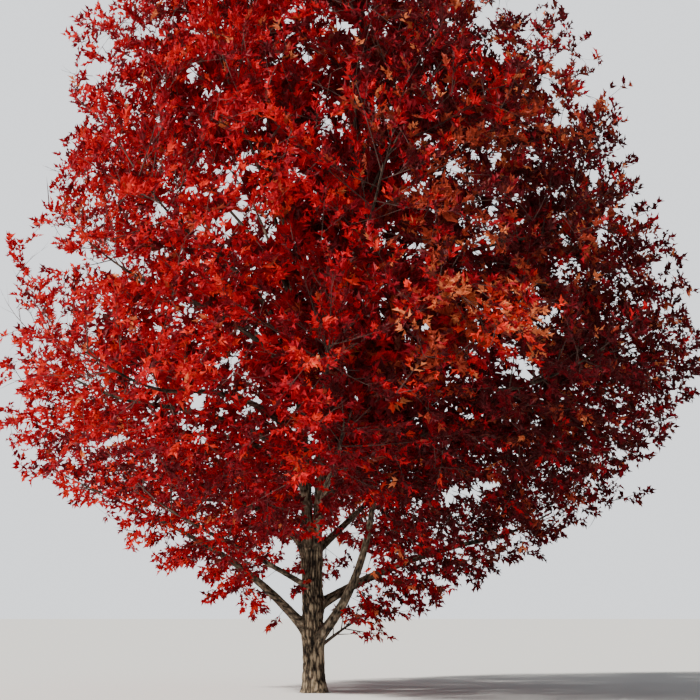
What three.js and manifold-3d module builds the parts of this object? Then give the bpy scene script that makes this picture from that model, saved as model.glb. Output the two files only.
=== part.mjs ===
// A red maple in autumn leaf, standing in open ground. Millimetres, +Z up.
// The origin is on the ground at the middle of the trunk's foot. +X is the side with the longer reach,
// -Y is the front. Azimuths are in degrees from +X, counted anticlockwise as seen from above.
//
// The trunk forks low into two leaders. Boughs leave the trunk and the leaders, each one tapering limb,
// and every bough and leader ends at one mass of foliage. A mass is a stem, its twigs and large leaves,
// each leaf standing for a spray, and it keeps to its own part of the crown.

import * as THREE from 'three';
import { mergeVertices } from 'three/addons/utils/BufferGeometryUtils.js';
import Module from 'manifold-3d';

// The crown as a whole
const treeHeight = 10000;
const meanReach = 4250;
const reachBias = 420;
const widestHeight = 3900;
const sideFoot = 950;
const frontFoot = 1500;
const topFullness = 2.3;
const footFullness = 2.0;
const bareHeight = 1800;
const bareSlope = 0.95;
const lowestLeaf = 620;
const crownRipple = 0.035;
const rippleLobes = 5;
const rippleHeight = 520;
const massBulge = 0.05;
const massFall = 0.11;
const massFallWidth = 1150;

// A notch of open sky in the left side, above the long low boughs
const notch = { azimuth: 180, height: 5050, tall: 300, wide: 26, depth: 0.2 };

// The trunk, from a flat cut at ground level to the fork
const forkHeight = 1620;
const trunkLean = -35;
const trunkRadius = 124;
const trunkTopRadius = 116;
const flareRadius = 62;
const flareHeight = 130;
const flareLobes = 5;
const flareLobeDepth = 0.16;
const trunkMesh = { sides: 20, rings: 8, easing: 1.8 };

// Solids that touch keep this clearance, and limbs run this far past a flat cut before it is made
const clearance = 0.3;
const levelSpare = 60;

// The two leaders stand side by side on the fork
const leaders = [
  { name: 'leader_left', footX: -60, bendX: -60,
    topX: -650, topY: -200, topHeight: 7300, root: 55, tip: 25 },
  { name: 'leader_right', footX: 60, bendX: 150,
    topX: 650, topY: 250, topHeight: 7700, root: 53, tip: 25 },
];
const leaderFootDepth = 1.75;
const leaderFootFade = 0.06;
const leaderBend = 0.35;
const leaderMesh = { sides: 9, rings: 10, easing: 1.25 };

// The low boughs that show under the crown. at is the height on the limb that carries it, rise the angle
// above level at which it leaves, and reach and height say where its tip is.
const lowBoughs = [
  { name: 'low_left', from: 'trunk', at: 610, azimuth: 183, rise: 52,
    reach: 1500, height: 1830, root: 66, tip: 26 },
  { name: 'low_right', from: 'trunk', at: 570, azimuth: -38, rise: 38,
    reach: 900, height: 2450, root: 70, tip: 26 },
  { name: 'back_right', from: 'trunk', at: 960, azimuth: 16, rise: 32,
    reach: 2150, height: 1800, root: 62, tip: 25 },
  { name: 'thin_left', from: 'trunk', at: 1190, azimuth: 222, rise: 24,
    reach: 1500, height: 1780, root: 34, tip: 22 },
  { name: 'mid_left', from: 'trunk', at: 1520, azimuth: 142, rise: 55,
    reach: 1700, height: 2330, root: 56, tip: 25 },
  { name: 'back', from: 'trunk', at: 1590, azimuth: 66, rise: 24,
    reach: 1700, height: 2380, root: 56, tip: 25 },
  { name: 'front', from: 'leader_right', at: 1980, azimuth: -82, rise: 28,
    reach: 1700, height: 2450, root: 44, tip: 23 },
];
const lowBend = 0.5;
const lowSiteOut = 640;
const lowSiteUp = 300;
const lowDroop = 0.3;

// The rings of boughs above them, spaced evenly round the leaders
const boughRings = [
  { name: 'middle', count: 8, turn: 4, height: 3600, share: 0.74, wave: 95,
    lowest: 2170, gap: 210, rise: 48, root: 46, tip: 23 },
  { name: 'upper', count: 7, turn: 26, height: 5400, share: 0.72, wave: 110,
    lowest: 3330, gap: 240, rise: 58, root: 38, tip: 21 },
];
const boughBend = 0.45;
const tipBackset = 800;
const collarSwell = 0.32;
const collarFade = 0.07;
const boughTaper = 0.8;
const boughMesh = { sides: 6, rings: 6, easing: 1.15 };

// Above each leader's tip, a mass this far out and up from it
const crestSpread = 0.3;
const crestRise = 1050;

// Masses that spring from a leader with no bough of their own
const stemRings = [
  { name: 'top', count: 6, turn: 2, height: 7250, share: 0.7, wave: 110,
    lowest: 4480, gap: 260, rise: 62 },
  { name: 'crest', count: 3, turn: -70, height: 8650, share: 0.6, wave: 60,
    lowest: 5800, gap: 300, rise: 70 },
  { name: 'inner', count: 1, turn: -60, height: 4500, share: 0.24, wave: 0,
    lowest: 3140, gap: 0, rise: 60 },
];

// A small leafy shoot low on the trunk
const shoot = { at: 470, azimuth: -10, rise: 38, reach: 620, height: 930, width: 420, leaf: 210 };

// Leaves. Each is a flat kite, and shares are of its length.
const leafLength = 1000;
const leafSpread = 0.16;
const leafWidth = 0.85;
const leafThickness = 0.022;
const leafWidest = 0.46;
const leafThickest = 0.2;
const leafUnderlap = 0.84;
const leafNeck = 12;
const leafNeckShare = 0.18;
const leafSizes = [1, 0.88, 0.76, 0.64, 0.52];
const leafGap = 390;
const firstSideLeaf = 0.6;
const sideLeafAngle = 52;
const sideLeafLift = 30;
const sideLeafShrink = 0.12;
const upwardFacing = 0.3;
const leafTilt = 1.1;

// The stem of a mass
const stemFill = 0.95;
const stemLeafRoom = 0.3;
const shortestStem = 0.8;
const longestStem = 4500;
const stemBend = 0.35;
const stemRoot = 26;
const stemTip = 14;
const stemShare = 0.95;
const stemMesh = { sides: 3, rings: 3 };

// Twigs leave the stem's three sides in turn
const twigCount = 6;
const twigRoot = 8;
const twigTip = 4;
const longestTwig = 1500;
const shortestTwig = 120;
const twigFirst = 0.12;
const twigLast = 0.9;
const wideTwigAngle = 66;
const narrowTwigAngle = 40;
const firstTwigTurn = 60;
const twigTurn = 120;
const twigStray = 22;
const lastTwigShare = 0.98;
const latestEntry = 0.6;
const entryStep = 0.04;
const firstSeed = 101;

// Room that twigs and leaves keep from the next mass and from the limbs
const cellMargin = 12;
const limbMargin = 45;
const rootRoom = 2.5;
const shortestReach = 3;
const reachStep = 40;

// Steps along a limb's middle line, and halvings to find a height on it
const axisSteps = 12;
const heightSteps = 24;

// Bark, and leaves from scarlet on the left to dark red on the right
const barkColor = 0x6f6258;
const leftColor = 0xc0150c;
const rightColor = 0x5a1712;

const up = new THREE.Vector3(0, 0, 1);
const radians = THREE.MathUtils.degToRad;
const wasm = await Module();
wasm.setup();

// A repeatable source of numbers from 0 to 1
function seeded(seed) {
  let state = seed >>> 0;
  return () => {
    state = (state + 0x6d2b79f5) >>> 0;
    let mixed = Math.imul(state ^ (state >>> 15), state | 1);
    mixed ^= mixed + Math.imul(mixed ^ (mixed >>> 7), mixed | 61);
    return ((mixed ^ (mixed >>> 14)) >>> 0) / 2 ** 32;
  };
}

function polar(azimuth, reach, height) {
  const angle = radians(azimuth);
  return new THREE.Vector3(reach * Math.cos(angle), reach * Math.sin(angle), height);
}

function heading(azimuth, rise) {
  return polar(azimuth, Math.cos(radians(rise)), Math.sin(radians(rise)));
}

// The crown's outer surface, as a distance from the upright axis through the trunk's foot
function notchFactor(height, angle) {
  const turn = Math.cos(angle - radians(notch.azimuth));
  const off = Math.acos(THREE.MathUtils.clamp(turn, -1, 1)) / radians(notch.wide);
  const level = (height - notch.height) / notch.tall;
  return 1 - notch.depth * Math.exp(-off * off - level * level);
}

function crownReach(height, angle) {
  const side = Math.cos(angle) ** 2;
  const foot = frontFoot + (sideFoot - frontFoot) * side;
  const above = height > widestHeight;
  const span = above ? treeHeight - widestHeight : widestHeight - foot;
  const fullness = above ? topFullness : footFullness;
  const part = Math.min(1, Math.abs(height - widestHeight) / span);
  const profile = (1 - part ** fullness) ** (1 / fullness);
  const ripple = 1 + crownRipple * Math.sin(rippleLobes * angle + height / rippleHeight);
  return (meanReach + reachBias * Math.cos(angle)) * profile * ripple * notchFactor(height, angle);
}

// Closed surfaces to solids and back
function toSolid(geometry) {
  geometry.deleteAttribute('normal');
  geometry.deleteAttribute('uv');
  const welded = mergeVertices(geometry);
  return new wasm.Manifold(new wasm.Mesh({
    numProp: 3,
    vertProperties: new Float32Array(welded.attributes.position.array),
    triVerts: new Uint32Array(welded.index.array),
  }));
}

function toGeometry(solid) {
  const mesh = solid.getMesh();
  const geometry = new THREE.BufferGeometry();
  geometry.setAttribute('position', new THREE.BufferAttribute(mesh.vertProperties, 3));
  geometry.setIndex(new THREE.BufferAttribute(mesh.triVerts, 1));
  geometry.computeVertexNormals();
  return geometry;
}

// The largest body of a solid, without loose scraps and with sealed hollows filled
function mainBody(solid) {
  const bodies = solid.decompose();
  return bodies.reduce((best, body) => (body.volume() > best.volume() ? body : best));
}

// A round bar bent along a route. across is level and square to the route's plane, and radiusAt gives
// the radius for a share of the route and an angle round it.
function barAlong({ route, across, sides, rings, radiusAt, easing = 1 }) {
  const bar = new THREE.CylinderGeometry(1, 1, 1, sides, rings);
  const position = bar.attributes.position;
  const vertex = new THREE.Vector3();
  for (let i = 0; i < position.count; i += 1) {
    vertex.fromBufferAttribute(position, i);
    const share = (vertex.y + 0.5) ** easing;
    const tangent = route.getTangentAt(share);
    const first = across.clone().addScaledVector(tangent, -across.dot(tangent)).normalize();
    const second = first.clone().cross(tangent);
    const radius = radiusAt(share, Math.atan2(vertex.z, vertex.x));
    const place = route.getPointAt(share);
    place.addScaledVector(first, vertex.x * radius).addScaledVector(second, vertex.z * radius);
    position.setXYZ(i, place.x, place.y, place.z);
  }
  return bar;
}

// A limb keeps its route and its taper, so that its neighbours can be cut to fit round it
function makeLimb(spec) {
  const solidWith = (spare) => {
    const radiusAt = (share, angle) => spec.radiusAt(share, angle) + spare;
    return toSolid(barAlong({ ...spec, radiusAt }));
  };
  return { ...spec, solid: solidWith(0), sleeve: () => solidWith(clearance), axis: axisOf(spec) };
}

// Points and radii along a limb's middle line, for measuring how near a twig comes
function axisOf({ route, radiusAt }) {
  return Array.from({ length: axisSteps + 1 }, (_, i) => ({
    point: route.getPointAt(i / axisSteps),
    radius: Math.max(radiusAt(i / axisSteps, 0), radiusAt(i / axisSteps, Math.PI / 2)),
  }));
}

function pointAtHeight(route, height) {
  let low = 0;
  let high = 1;
  for (let i = 0; i < heightSteps; i += 1) {
    const middle = (low + high) / 2;
    if (route.getPointAt(middle).z < height) low = middle;
    else high = middle;
  }
  return route.getPointAt(high);
}

// The part of a solid between two levels, cut flat
function betweenLevels(solid, low, high) {
  const slab = new THREE.BoxGeometry(4 * meanReach, 4 * meanReach, high - low);
  slab.translate(0, 0, (low + high) / 2);
  return mainBody(solid.intersect(toSolid(slab)));
}

// The trunk and the leaders run a little past the fork before they are cut there
function makeTrunk() {
  const slope = trunkLean / forkHeight;
  const foot = new THREE.Vector3(-slope * levelSpare, 0, -levelSpare);
  const top = new THREE.Vector3(slope * (forkHeight + levelSpare), 0, forkHeight + levelSpare);
  const route = new THREE.LineCurve3(foot, top);
  const radiusAt = (share, angle) => {
    const flare = flareRadius * Math.exp((-share * forkHeight) / flareHeight);
    const lobe = 1 + (flareLobeDepth * flare * Math.cos(flareLobes * angle)) / flareRadius;
    return (trunkRadius + (trunkTopRadius - trunkRadius) * share + flare) * lobe;
  };
  const across = new THREE.Vector3(0, 1, 0);
  const trunk = makeLimb({ name: 'trunk', route, across, radiusAt, ...trunkMesh });
  return { ...trunk, solid: betweenLevels(trunk.solid, 0, forkHeight) };
}

function makeLeader(spec) {
  const foot = new THREE.Vector3(trunkLean + spec.footX, 0, forkHeight - levelSpare);
  const bend = new THREE.Vector3(trunkLean + spec.bendX, 0, forkHeight + spec.topHeight * leaderBend);
  const top = new THREE.Vector3(spec.topX, spec.topY, spec.topHeight);
  const route = new THREE.QuadraticBezierCurve3(foot, bend, top);
  const radiusAt = (share, angle) => {
    const radius = spec.root + (spec.tip - spec.root) * share;
    const depth = 1 + (leaderFootDepth - 1) * Math.exp(-share / leaderFootFade);
    return radius * Math.hypot(Math.sin(angle), Math.cos(angle) * depth);
  };
  const across = new THREE.Vector3(0, 1, 0);
  const leader = makeLimb({ name: spec.name, route, across, radiusAt, ...leaderMesh });
  return { ...leader, solid: betweenLevels(leader.solid, forkHeight + clearance, treeHeight) };
}

// A bough starts on its parent's middle line, swells into a collar there, and is cut to fit the parent
function makeBough(spec, parents) {
  const parent = parents.find((limb) => limb.name === spec.from);
  const start = pointAtHeight(parent.route, spec.at);
  const level = new THREE.Vector3(spec.tipPoint.x - start.x, spec.tipPoint.y - start.y, 0).normalize();
  const leave = level.clone().multiplyScalar(Math.cos(radians(spec.rise)));
  leave.addScaledVector(up, Math.sin(radians(spec.rise)));
  const bend = start.clone().addScaledVector(leave, spec.bend * start.distanceTo(spec.tipPoint));
  const route = new THREE.QuadraticBezierCurve3(start, bend, spec.tipPoint);
  const across = up.clone().cross(level);
  const radiusAt = (share) => {
    const collar = 1 + collarSwell * Math.exp(-share / collarFade);
    return (spec.root + (spec.tip - spec.root) * share ** boughTaper) * collar;
  };
  const limb = makeLimb({ name: spec.name, route, across, radiusAt, ...boughMesh });
  const cutters = parents.map((other) => other.sleeve());
  const solid = cutters.reduce((left, sleeve) => left.subtract(sleeve), limb.solid);
  return { ...limb, solid: mainBody(solid), site: spec.site, droop: spec.droop ?? 0 };
}

// Where a ring's masses sit, which leader carries each of them, and at what height
function ringSites(ring) {
  const carried = { leader_left: 0, leader_right: 0 };
  return Array.from({ length: ring.count }, (_, i) => {
    const azimuth = ring.turn + (360 * i) / ring.count;
    const height = ring.height + ring.wave * (i % 2 ? -1 : 1);
    const reach = ring.share * crownReach(height, radians(azimuth));
    const site = polar(azimuth, reach, height);
    const from = site.x < 0 ? 'leader_left' : 'leader_right';
    const at = ring.lowest + ring.gap * carried[from];
    carried[from] += 1;
    return { name: `${ring.name}_${i + 1}`, site, from, at, azimuth, rise: ring.rise };
  });
}

function lowBoughSpec(spec) {
  const tipPoint = polar(spec.azimuth, spec.reach, spec.height);
  const site = polar(spec.azimuth, spec.reach + lowSiteOut, spec.height + lowSiteUp);
  return { ...spec, name: `bough_${spec.name}`, tipPoint, site, bend: lowBend, droop: lowDroop };
}

function ringBoughSpec(place, ring, parents) {
  const start = pointAtHeight(parents.find((limb) => limb.name === place.from).route, place.at);
  const back = place.site.clone().sub(start).setLength(tipBackset);
  const tipPoint = place.site.clone().sub(back);
  const name = `bough_${place.name}`;
  return { ...place, name, tipPoint, bend: boughBend, root: ring.root, tip: ring.tip };
}

function buildLimbs() {
  const trunk = makeTrunk();
  const stems = leaders.map(makeLeader);
  const parents = [trunk, ...stems];
  const low = lowBoughs.map((spec) => makeBough(lowBoughSpec(spec), parents));
  const rings = boughRings.flatMap((ring) => ringSites(ring).map((place) => {
    return makeBough(ringBoughSpec(place, ring, parents), parents);
  }));
  return { parents, boughs: [...low, ...rings] };
}

// A mass that goes on from a limb's tip starts just clear of it
function tipStart(limb, site, name) {
  const leave = limb.route.getTangentAt(1);
  const start = limb.route.getPointAt(1).addScaledVector(leave, clearance);
  const root = limb.radiusAt(1, 0) * stemShare;
  return { name, site, start, leave, own: limb.name, root, droop: limb.droop ?? 0 };
}

// A mass with no bough starts on the leader's middle line and is cut to fit it
function sideStart(place, parents) {
  const parent = parents.find((limb) => limb.name === place.from);
  const start = pointAtHeight(parent.route, place.at);
  const leave = heading(place.azimuth, place.rise);
  return { ...place, start, leave, own: parent.name, root: stemRoot, cutter: parent, droop: 0 };
}

function planMasses(parents, boughs) {
  const fromBoughs = boughs.map((limb) => tipStart(limb, limb.site, limb.name.replace('bough', 'foliage')));
  const fromLeaders = parents.slice(1).map((limb) => {
    const tip = limb.route.getPointAt(1);
    const site = tip.clone().add(new THREE.Vector3(tip.x * crestSpread, tip.y * crestSpread, crestRise));
    return tipStart(limb, site, limb.name.replace('leader', 'foliage_crest'));
  });
  const fromSides = stemRings.flatMap(ringSites).map((place) => {
    return sideStart({ ...place, name: `foliage_${place.name}` }, parents);
  });
  const shootSite = polar(shoot.azimuth, shoot.reach, shoot.height);
  const shootPlace = { ...shoot, name: 'foliage_shoot', site: shootSite, from: 'trunk' };
  return [...fromBoughs, ...fromLeaders, ...fromSides, { ...sideStart(shootPlace, parents), small: shoot }];
}

// The space of a mass: nearer to its own site than to any other, under the crown's surface, and off the
// bare middle under the crown
function insideSpace(point, mass, masses) {
  const angle = Math.atan2(point.y, point.x);
  const reach = Math.hypot(point.x, point.y);
  if (point.z < lowestLeaf) return false;
  if (mass.small && point.distanceTo(mass.site) > mass.small.width) return false;
  if (!mass.small && point.z < bareHeight - bareSlope * reach) return false;
  const outward = mass.site.clone().setZ(0).normalize();
  const aside = new THREE.Vector3(point.x, point.y, 0);
  aside.addScaledVector(outward, -aside.dot(outward));
  const away = Math.hypot(aside.length(), point.z - mass.site.z) / massFallWidth;
  const swell = 1 + massBulge - massFall * Math.min(1, away * away);
  if (!mass.small && reach > crownReach(point.z, angle) * swell) return false;
  return masses.every((other) => {
    if (other.name === mass.name) return true;
    const apart = other.site.clone().sub(mass.site);
    const span = apart.length();
    const along = point.clone().sub(mass.site).dot(apart) / span;
    return along <= span / 2 - cellMargin;
  });
}

function segmentGap(a, b, c, d) {
  const first = b.clone().sub(a);
  const second = d.clone().sub(c);
  const between = a.clone().sub(c);
  const aa = first.dot(first);
  const bb = second.dot(second);
  const ab = first.dot(second);
  const ac = first.dot(between);
  const bc = second.dot(between);
  const denominator = aa * bb - ab * ab;
  let s = denominator > 1e-9 ? THREE.MathUtils.clamp((ab * bc - ac * bb) / denominator, 0, 1) : 0;
  const t = THREE.MathUtils.clamp((ab * s + bc) / bb, 0, 1);
  s = THREE.MathUtils.clamp((ab * t - ac) / aa, 0, 1);
  return a.clone().addScaledVector(first, s).distanceTo(c.clone().addScaledVector(second, t));
}

function clearOfLimbs(from, to, limbs) {
  return limbs.every((limb) => limb.axis.slice(1).every((end, i) => {
    const start = limb.axis[i];
    return segmentGap(from, to, start.point, end.point) > start.radius + limbMargin;
  }));
}

// How far a twig can go from a point before it leaves the space or nears a limb
function freeReach(from, direction, longest, mass, masses, limbs) {
  const near = from.clone().addScaledVector(direction, rootRoom * limbMargin);
  let reach = 0;
  while (reach < longest) {
    const next = from.clone().addScaledVector(direction, reach + reachStep);
    if (!insideSpace(next, mass, masses)) break;
    reach += reachStep;
  }
  while (reach > 0) {
    const end = from.clone().addScaledVector(direction, reach);
    if (reach < shortestReach * limbMargin || clearOfLimbs(near, end, limbs)) break;
    reach -= 2 * reachStep;
  }
  return Math.max(0, reach);
}

// The corners of a flat kite that stands for a spray of leaves, thickest near its root
function leafPoints(root, along, facing, length) {
  const side = along.clone().cross(facing).normalize();
  const normal = side.clone().cross(along);
  const at = (share, across, high) => root.clone().addScaledVector(along, share * length)
    .addScaledVector(side, across * length).addScaledVector(normal, high * length);
  return {
    root,
    tip: at(1, 0, 0),
    left: at(leafWidest, -leafWidth / 2, 0),
    right: at(leafWidest, leafWidth / 2, 0),
    under: at(leafThickest, 0, -leafThickness / 2),
    over: at(leafThickest, 0, leafThickness / 2),
  };
}

function leafBlade(points) {
  const blade = new THREE.OctahedronGeometry(1);
  const position = blade.attributes.position;
  for (let i = 0; i < position.count; i += 1) {
    const [x, y, z] = [position.getX(i), position.getY(i), position.getZ(i)];
    let corner = x > 0.5 ? points.right : points.left;
    if (Math.abs(y) > 0.5) corner = y > 0 ? points.tip : points.root;
    if (Math.abs(z) > 0.5) corner = z > 0 ? points.over : points.under;
    position.setXYZ(i, corner.x, corner.y, corner.z);
  }
  return blade;
}

// A three-sided twig that widens into the kite at its tip. Its three sides face left, right and under.
function leafyTwig(from, end, facing, points) {
  const along = end.clone().sub(from).normalize();
  const side = along.clone().cross(facing).normalize();
  const ring = (centre, radius) => [90, 210, 330].map((turn) => centre.clone()
    .addScaledVector(side, radius * Math.cos(radians(turn)))
    .addScaledVector(facing, radius * Math.sin(radians(turn))));
  const corners = [...ring(from, twigRoot), ...ring(end, twigTip)];
  corners.push(points.over, points.left, points.under, points.right, points.tip);
  const faces = [0, 1, 2];
  [[0, 1], [1, 2], [2, 0]].forEach(([a, b]) => faces.push(a, b + 3, b, a, a + 3, b + 3));
  faces.push(3, 6, 7, 3, 7, 4, 4, 7, 8, 4, 8, 5, 5, 8, 9, 5, 9, 3, 3, 9, 6);
  faces.push(10, 7, 6, 10, 8, 7, 10, 9, 8, 10, 6, 9);
  const twig = new THREE.BufferGeometry();
  twig.setAttribute('position', new THREE.Float32BufferAttribute(corners.flatMap((c) => c.toArray()), 3));
  twig.setIndex(faces);
  return twig;
}

function leafFits(points, mass, masses, limbs) {
  const { root, tip, left, right } = points;
  if (![tip, left, right].every((point) => insideSpace(point, mass, masses))) return false;
  const neck = root.clone().lerp(tip, leafNeckShare);
  const ribs = [[neck, tip], [neck, left], [neck, right], [left, tip], [right, tip], [left, right]];
  return ribs.every(([from, to]) => clearOfLimbs(from, to, limbs));
}

// Leaves face up and out, to the light, each tilted a little
function facingAt(point, along, tilt) {
  const outward = new THREE.Vector3(point.x, point.y, 0).normalize();
  const light = outward.multiplyScalar(1 - upwardFacing).addScaledVector(up, upwardFacing);
  light.addScaledVector(along, -light.dot(along)).normalize();
  return light.applyAxisAngle(along, tilt);
}

// The largest of a few sizes that fits
function fittingLeaf(root, along, facing, length, mass, masses, limbs) {
  const sizes = leafSizes.map((share) => leafPoints(root, along, facing, share * length));
  return sizes.find((points) => leafFits(points, mass, masses, limbs));
}

// A twig with a leaf at its tip and a leaf on each side by turns
function addTwig(pieces, from, direction, random, mass, masses, limbs) {
  const length = (mass.small ? mass.small.leaf : leafLength) * (1 + leafSpread * (2 * random() - 1));
  const facing = facingAt(from, direction, leafTilt * (random() - 0.5));
  const free = freeReach(from, direction, longestTwig + length, mass, masses, limbs);
  const reach = Math.max(shortestTwig, free - leafUnderlap * length);
  const end = from.clone().addScaledVector(direction, reach);
  const neck = from.clone().addScaledVector(direction, reach - leafNeck);
  const last = fittingLeaf(neck, direction, facing, length, mass, masses, limbs);
  if (!last) return;
  pieces.push(toSolid(leafyTwig(from, end, facing, last)));
  const side = direction.clone().cross(facing);
  const leafCount = Math.round(reach / leafGap);
  for (let i = 0; i < leafCount; i += 1) {
    const root = from.clone().addScaledVector(direction, (reach * (i + firstSideLeaf)) / leafCount);
    const hand = (i % 2 ? 1 : -1) * Math.cos(radians(sideLeafLift));
    const away = side.clone().multiplyScalar(hand).addScaledVector(facing, Math.sin(radians(sideLeafLift)));
    const along = direction.clone().multiplyScalar(Math.cos(radians(sideLeafAngle)));
    along.addScaledVector(away, Math.sin(radians(sideLeafAngle)));
    const sideFacing = facingAt(root, along, leafTilt * (random() - 0.5));
    const size = length * (1 - sideLeafShrink * random());
    const points = fittingLeaf(root, along, sideFacing, size, mass, masses, limbs);
    if (points) pieces.push(toSolid(leafBlade(points)));
  }
}

function stemRoute(mass, masses, limbs) {
  const direct = mass.site.clone().sub(mass.start).normalize();
  const others = limbs.filter((limb) => limb.name !== mass.own);
  const free = freeReach(mass.start, direct, longestStem, mass, masses, others);
  const least = mass.start.distanceTo(mass.site) * shortestStem;
  const length = Math.max(least, free * stemFill - stemLeafRoom * leafLength);
  const end = mass.start.clone().addScaledVector(direct, length);
  const bend = mass.start.clone().addScaledVector(mass.leave, stemBend * length);
  return new THREE.QuadraticBezierCurve3(mass.start, bend, end);
}

function withStem(mass, masses, limbs, seed) {
  const random = seeded(seed);
  const route = stemRoute(mass, masses, limbs);
  const across = up.clone().cross(mass.leave);
  if (across.length() < 0.01) across.set(0, 1, 0);
  const radiusAt = (share) => mass.root + (stemTip - mass.root) * share;
  across.normalize().applyAxisAngle(mass.leave, 2 * Math.PI * random());
  const stem = { route, across, radiusAt, ...stemMesh };
  return { ...mass, stem, random, asObstacle: { name: mass.name, axis: axisOf(stem) } };
}

// The share of the stem at which it comes into its mass's own space
function entryShare(mass, masses) {
  let share = twigFirst;
  while (share < latestEntry && !insideSpace(mass.stem.route.getPointAt(share), mass, masses)) {
    share += entryStep;
  }
  return share;
}

// A point on the middle line of the stem, which runs straight from ring to ring
function stemPoint(stem, share) {
  const ring = Math.min(stem.rings - 1, Math.floor(share * stem.rings));
  const from = stem.route.getPointAt(ring / stem.rings);
  return from.lerp(stem.route.getPointAt((ring + 1) / stem.rings), share * stem.rings - ring);
}

// The stem has three sides, and its twigs leave them in turn
function sideOf(stem, share, turn) {
  const tangent = stem.route.getTangentAt(share);
  const first = stem.across.clone().addScaledVector(tangent, -stem.across.dot(tangent)).normalize();
  const second = first.clone().cross(tangent);
  return first.multiplyScalar(Math.sin(radians(turn))).addScaledVector(second, Math.cos(radians(turn)));
}

function growMass(mass, masses, limbs) {
  const { stem, random } = mass;
  const pieces = [toSolid(barAlong(stem))];
  const firstShare = entryShare(mass, masses);
  for (let i = 0; i < twigCount; i += 1) {
    const part = i / (twigCount - 1);
    const share = firstShare + (twigLast - firstShare) * part;
    const angle = radians(wideTwigAngle + (narrowTwigAngle - wideTwigAngle) * part);
    const turn = firstTwigTurn + twigTurn * i + twigStray * (2 * random() - 1);
    const direction = stem.route.getTangentAt(share).multiplyScalar(Math.cos(angle));
    direction.addScaledVector(sideOf(stem, share, turn), Math.sin(angle));
    direction.addScaledVector(up, -mass.droop).normalize();
    addTwig(pieces, stemPoint(stem, share), direction, random, mass, masses, limbs);
  }
  const lastRoot = stemPoint(stem, lastTwigShare);
  addTwig(pieces, lastRoot, stem.route.getTangentAt(1), random, mass, masses, limbs);
  const joined = wasm.Manifold.union(pieces);
  return mainBody(mass.cutter ? joined.subtract(mass.cutter.sleeve()) : joined);
}

function barkMaterial() {
  return new THREE.MeshStandardMaterial({ color: barkColor, roughness: 0.9, metalness: 0 });
}

function leafMaterial(site) {
  const share = THREE.MathUtils.clamp(0.5 + site.x / (2 * meanReach), 0, 1);
  const color = new THREE.Color(leftColor).lerp(new THREE.Color(rightColor), share);
  return new THREE.MeshStandardMaterial({ color, roughness: 0.6, metalness: 0 });
}

function namedMesh(name, solid, material) {
  const mesh = new THREE.Mesh(toGeometry(solid), material);
  mesh.name = name;
  return mesh;
}

function buildTree() {
  const tree = new THREE.Group();
  const { parents, boughs } = buildLimbs();
  const limbs = [...parents, ...boughs];
  limbs.forEach((limb) => tree.add(namedMesh(limb.name, limb.solid, barkMaterial())));
  const planned = planMasses(parents, boughs);
  const masses = planned.map((mass, i) => withStem(mass, planned, limbs, firstSeed + i));
  masses.forEach((mass) => {
    const stems = masses.filter((other) => other !== mass).map((other) => other.asObstacle);
    const solid = growMass(mass, masses, [...limbs, ...stems]);
    tree.add(namedMesh(mass.name, solid, leafMaterial(mass.site)));
  });
  return tree;
}

export default buildTree();
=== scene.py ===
"""A red maple in autumn leaf: bark with relief on its limbs, and leafy sprays in place of its masses.

Metres, +Z up. The origin is on the ground at the middle of the trunk's foot, and -Y is the front.
The crown's shape, the limbs and the masses' spaces follow the same named sizes as the solids.
"""

import math

import bpy
import numpy as np
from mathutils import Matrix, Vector
from mathutils.kdtree import KDTree


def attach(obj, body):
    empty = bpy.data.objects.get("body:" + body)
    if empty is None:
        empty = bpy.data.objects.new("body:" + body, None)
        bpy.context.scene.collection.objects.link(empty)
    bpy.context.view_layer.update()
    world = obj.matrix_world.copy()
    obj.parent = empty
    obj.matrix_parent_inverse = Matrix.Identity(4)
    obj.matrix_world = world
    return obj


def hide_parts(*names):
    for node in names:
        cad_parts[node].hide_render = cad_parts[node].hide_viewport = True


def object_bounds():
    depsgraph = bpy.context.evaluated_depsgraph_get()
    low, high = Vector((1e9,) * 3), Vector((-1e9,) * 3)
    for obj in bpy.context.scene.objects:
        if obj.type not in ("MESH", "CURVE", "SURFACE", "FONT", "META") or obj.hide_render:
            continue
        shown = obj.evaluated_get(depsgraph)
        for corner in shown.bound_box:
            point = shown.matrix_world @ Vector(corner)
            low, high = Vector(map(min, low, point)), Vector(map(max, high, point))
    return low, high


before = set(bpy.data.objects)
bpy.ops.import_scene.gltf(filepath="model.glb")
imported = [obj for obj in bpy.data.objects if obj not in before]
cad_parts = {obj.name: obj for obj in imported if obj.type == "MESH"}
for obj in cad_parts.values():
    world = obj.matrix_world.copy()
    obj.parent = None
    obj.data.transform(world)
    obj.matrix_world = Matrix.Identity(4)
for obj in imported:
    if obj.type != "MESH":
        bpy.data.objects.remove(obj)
cad_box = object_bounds()


def table(fields, *rows):
    """Rows of values as dictionaries, under one line of field names."""
    return [dict(zip(fields.split(), row)) for row in rows]


# Directions, values too small to matter, and what the curves and the smooth noise are worked out with
UP = np.array([0.0, 0.0, 1.0])
BACK = np.array([0.0, 1.0, 0.0])
LEVEL = [1, 1, 0]
TINY = 1e-9
NUDGE = 1e-6
CURVE_STEPS = 201
HASH_WAVES = np.array([127.1, 311.7, 74.7])
HASH_SCALE = 43758.5453

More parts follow.
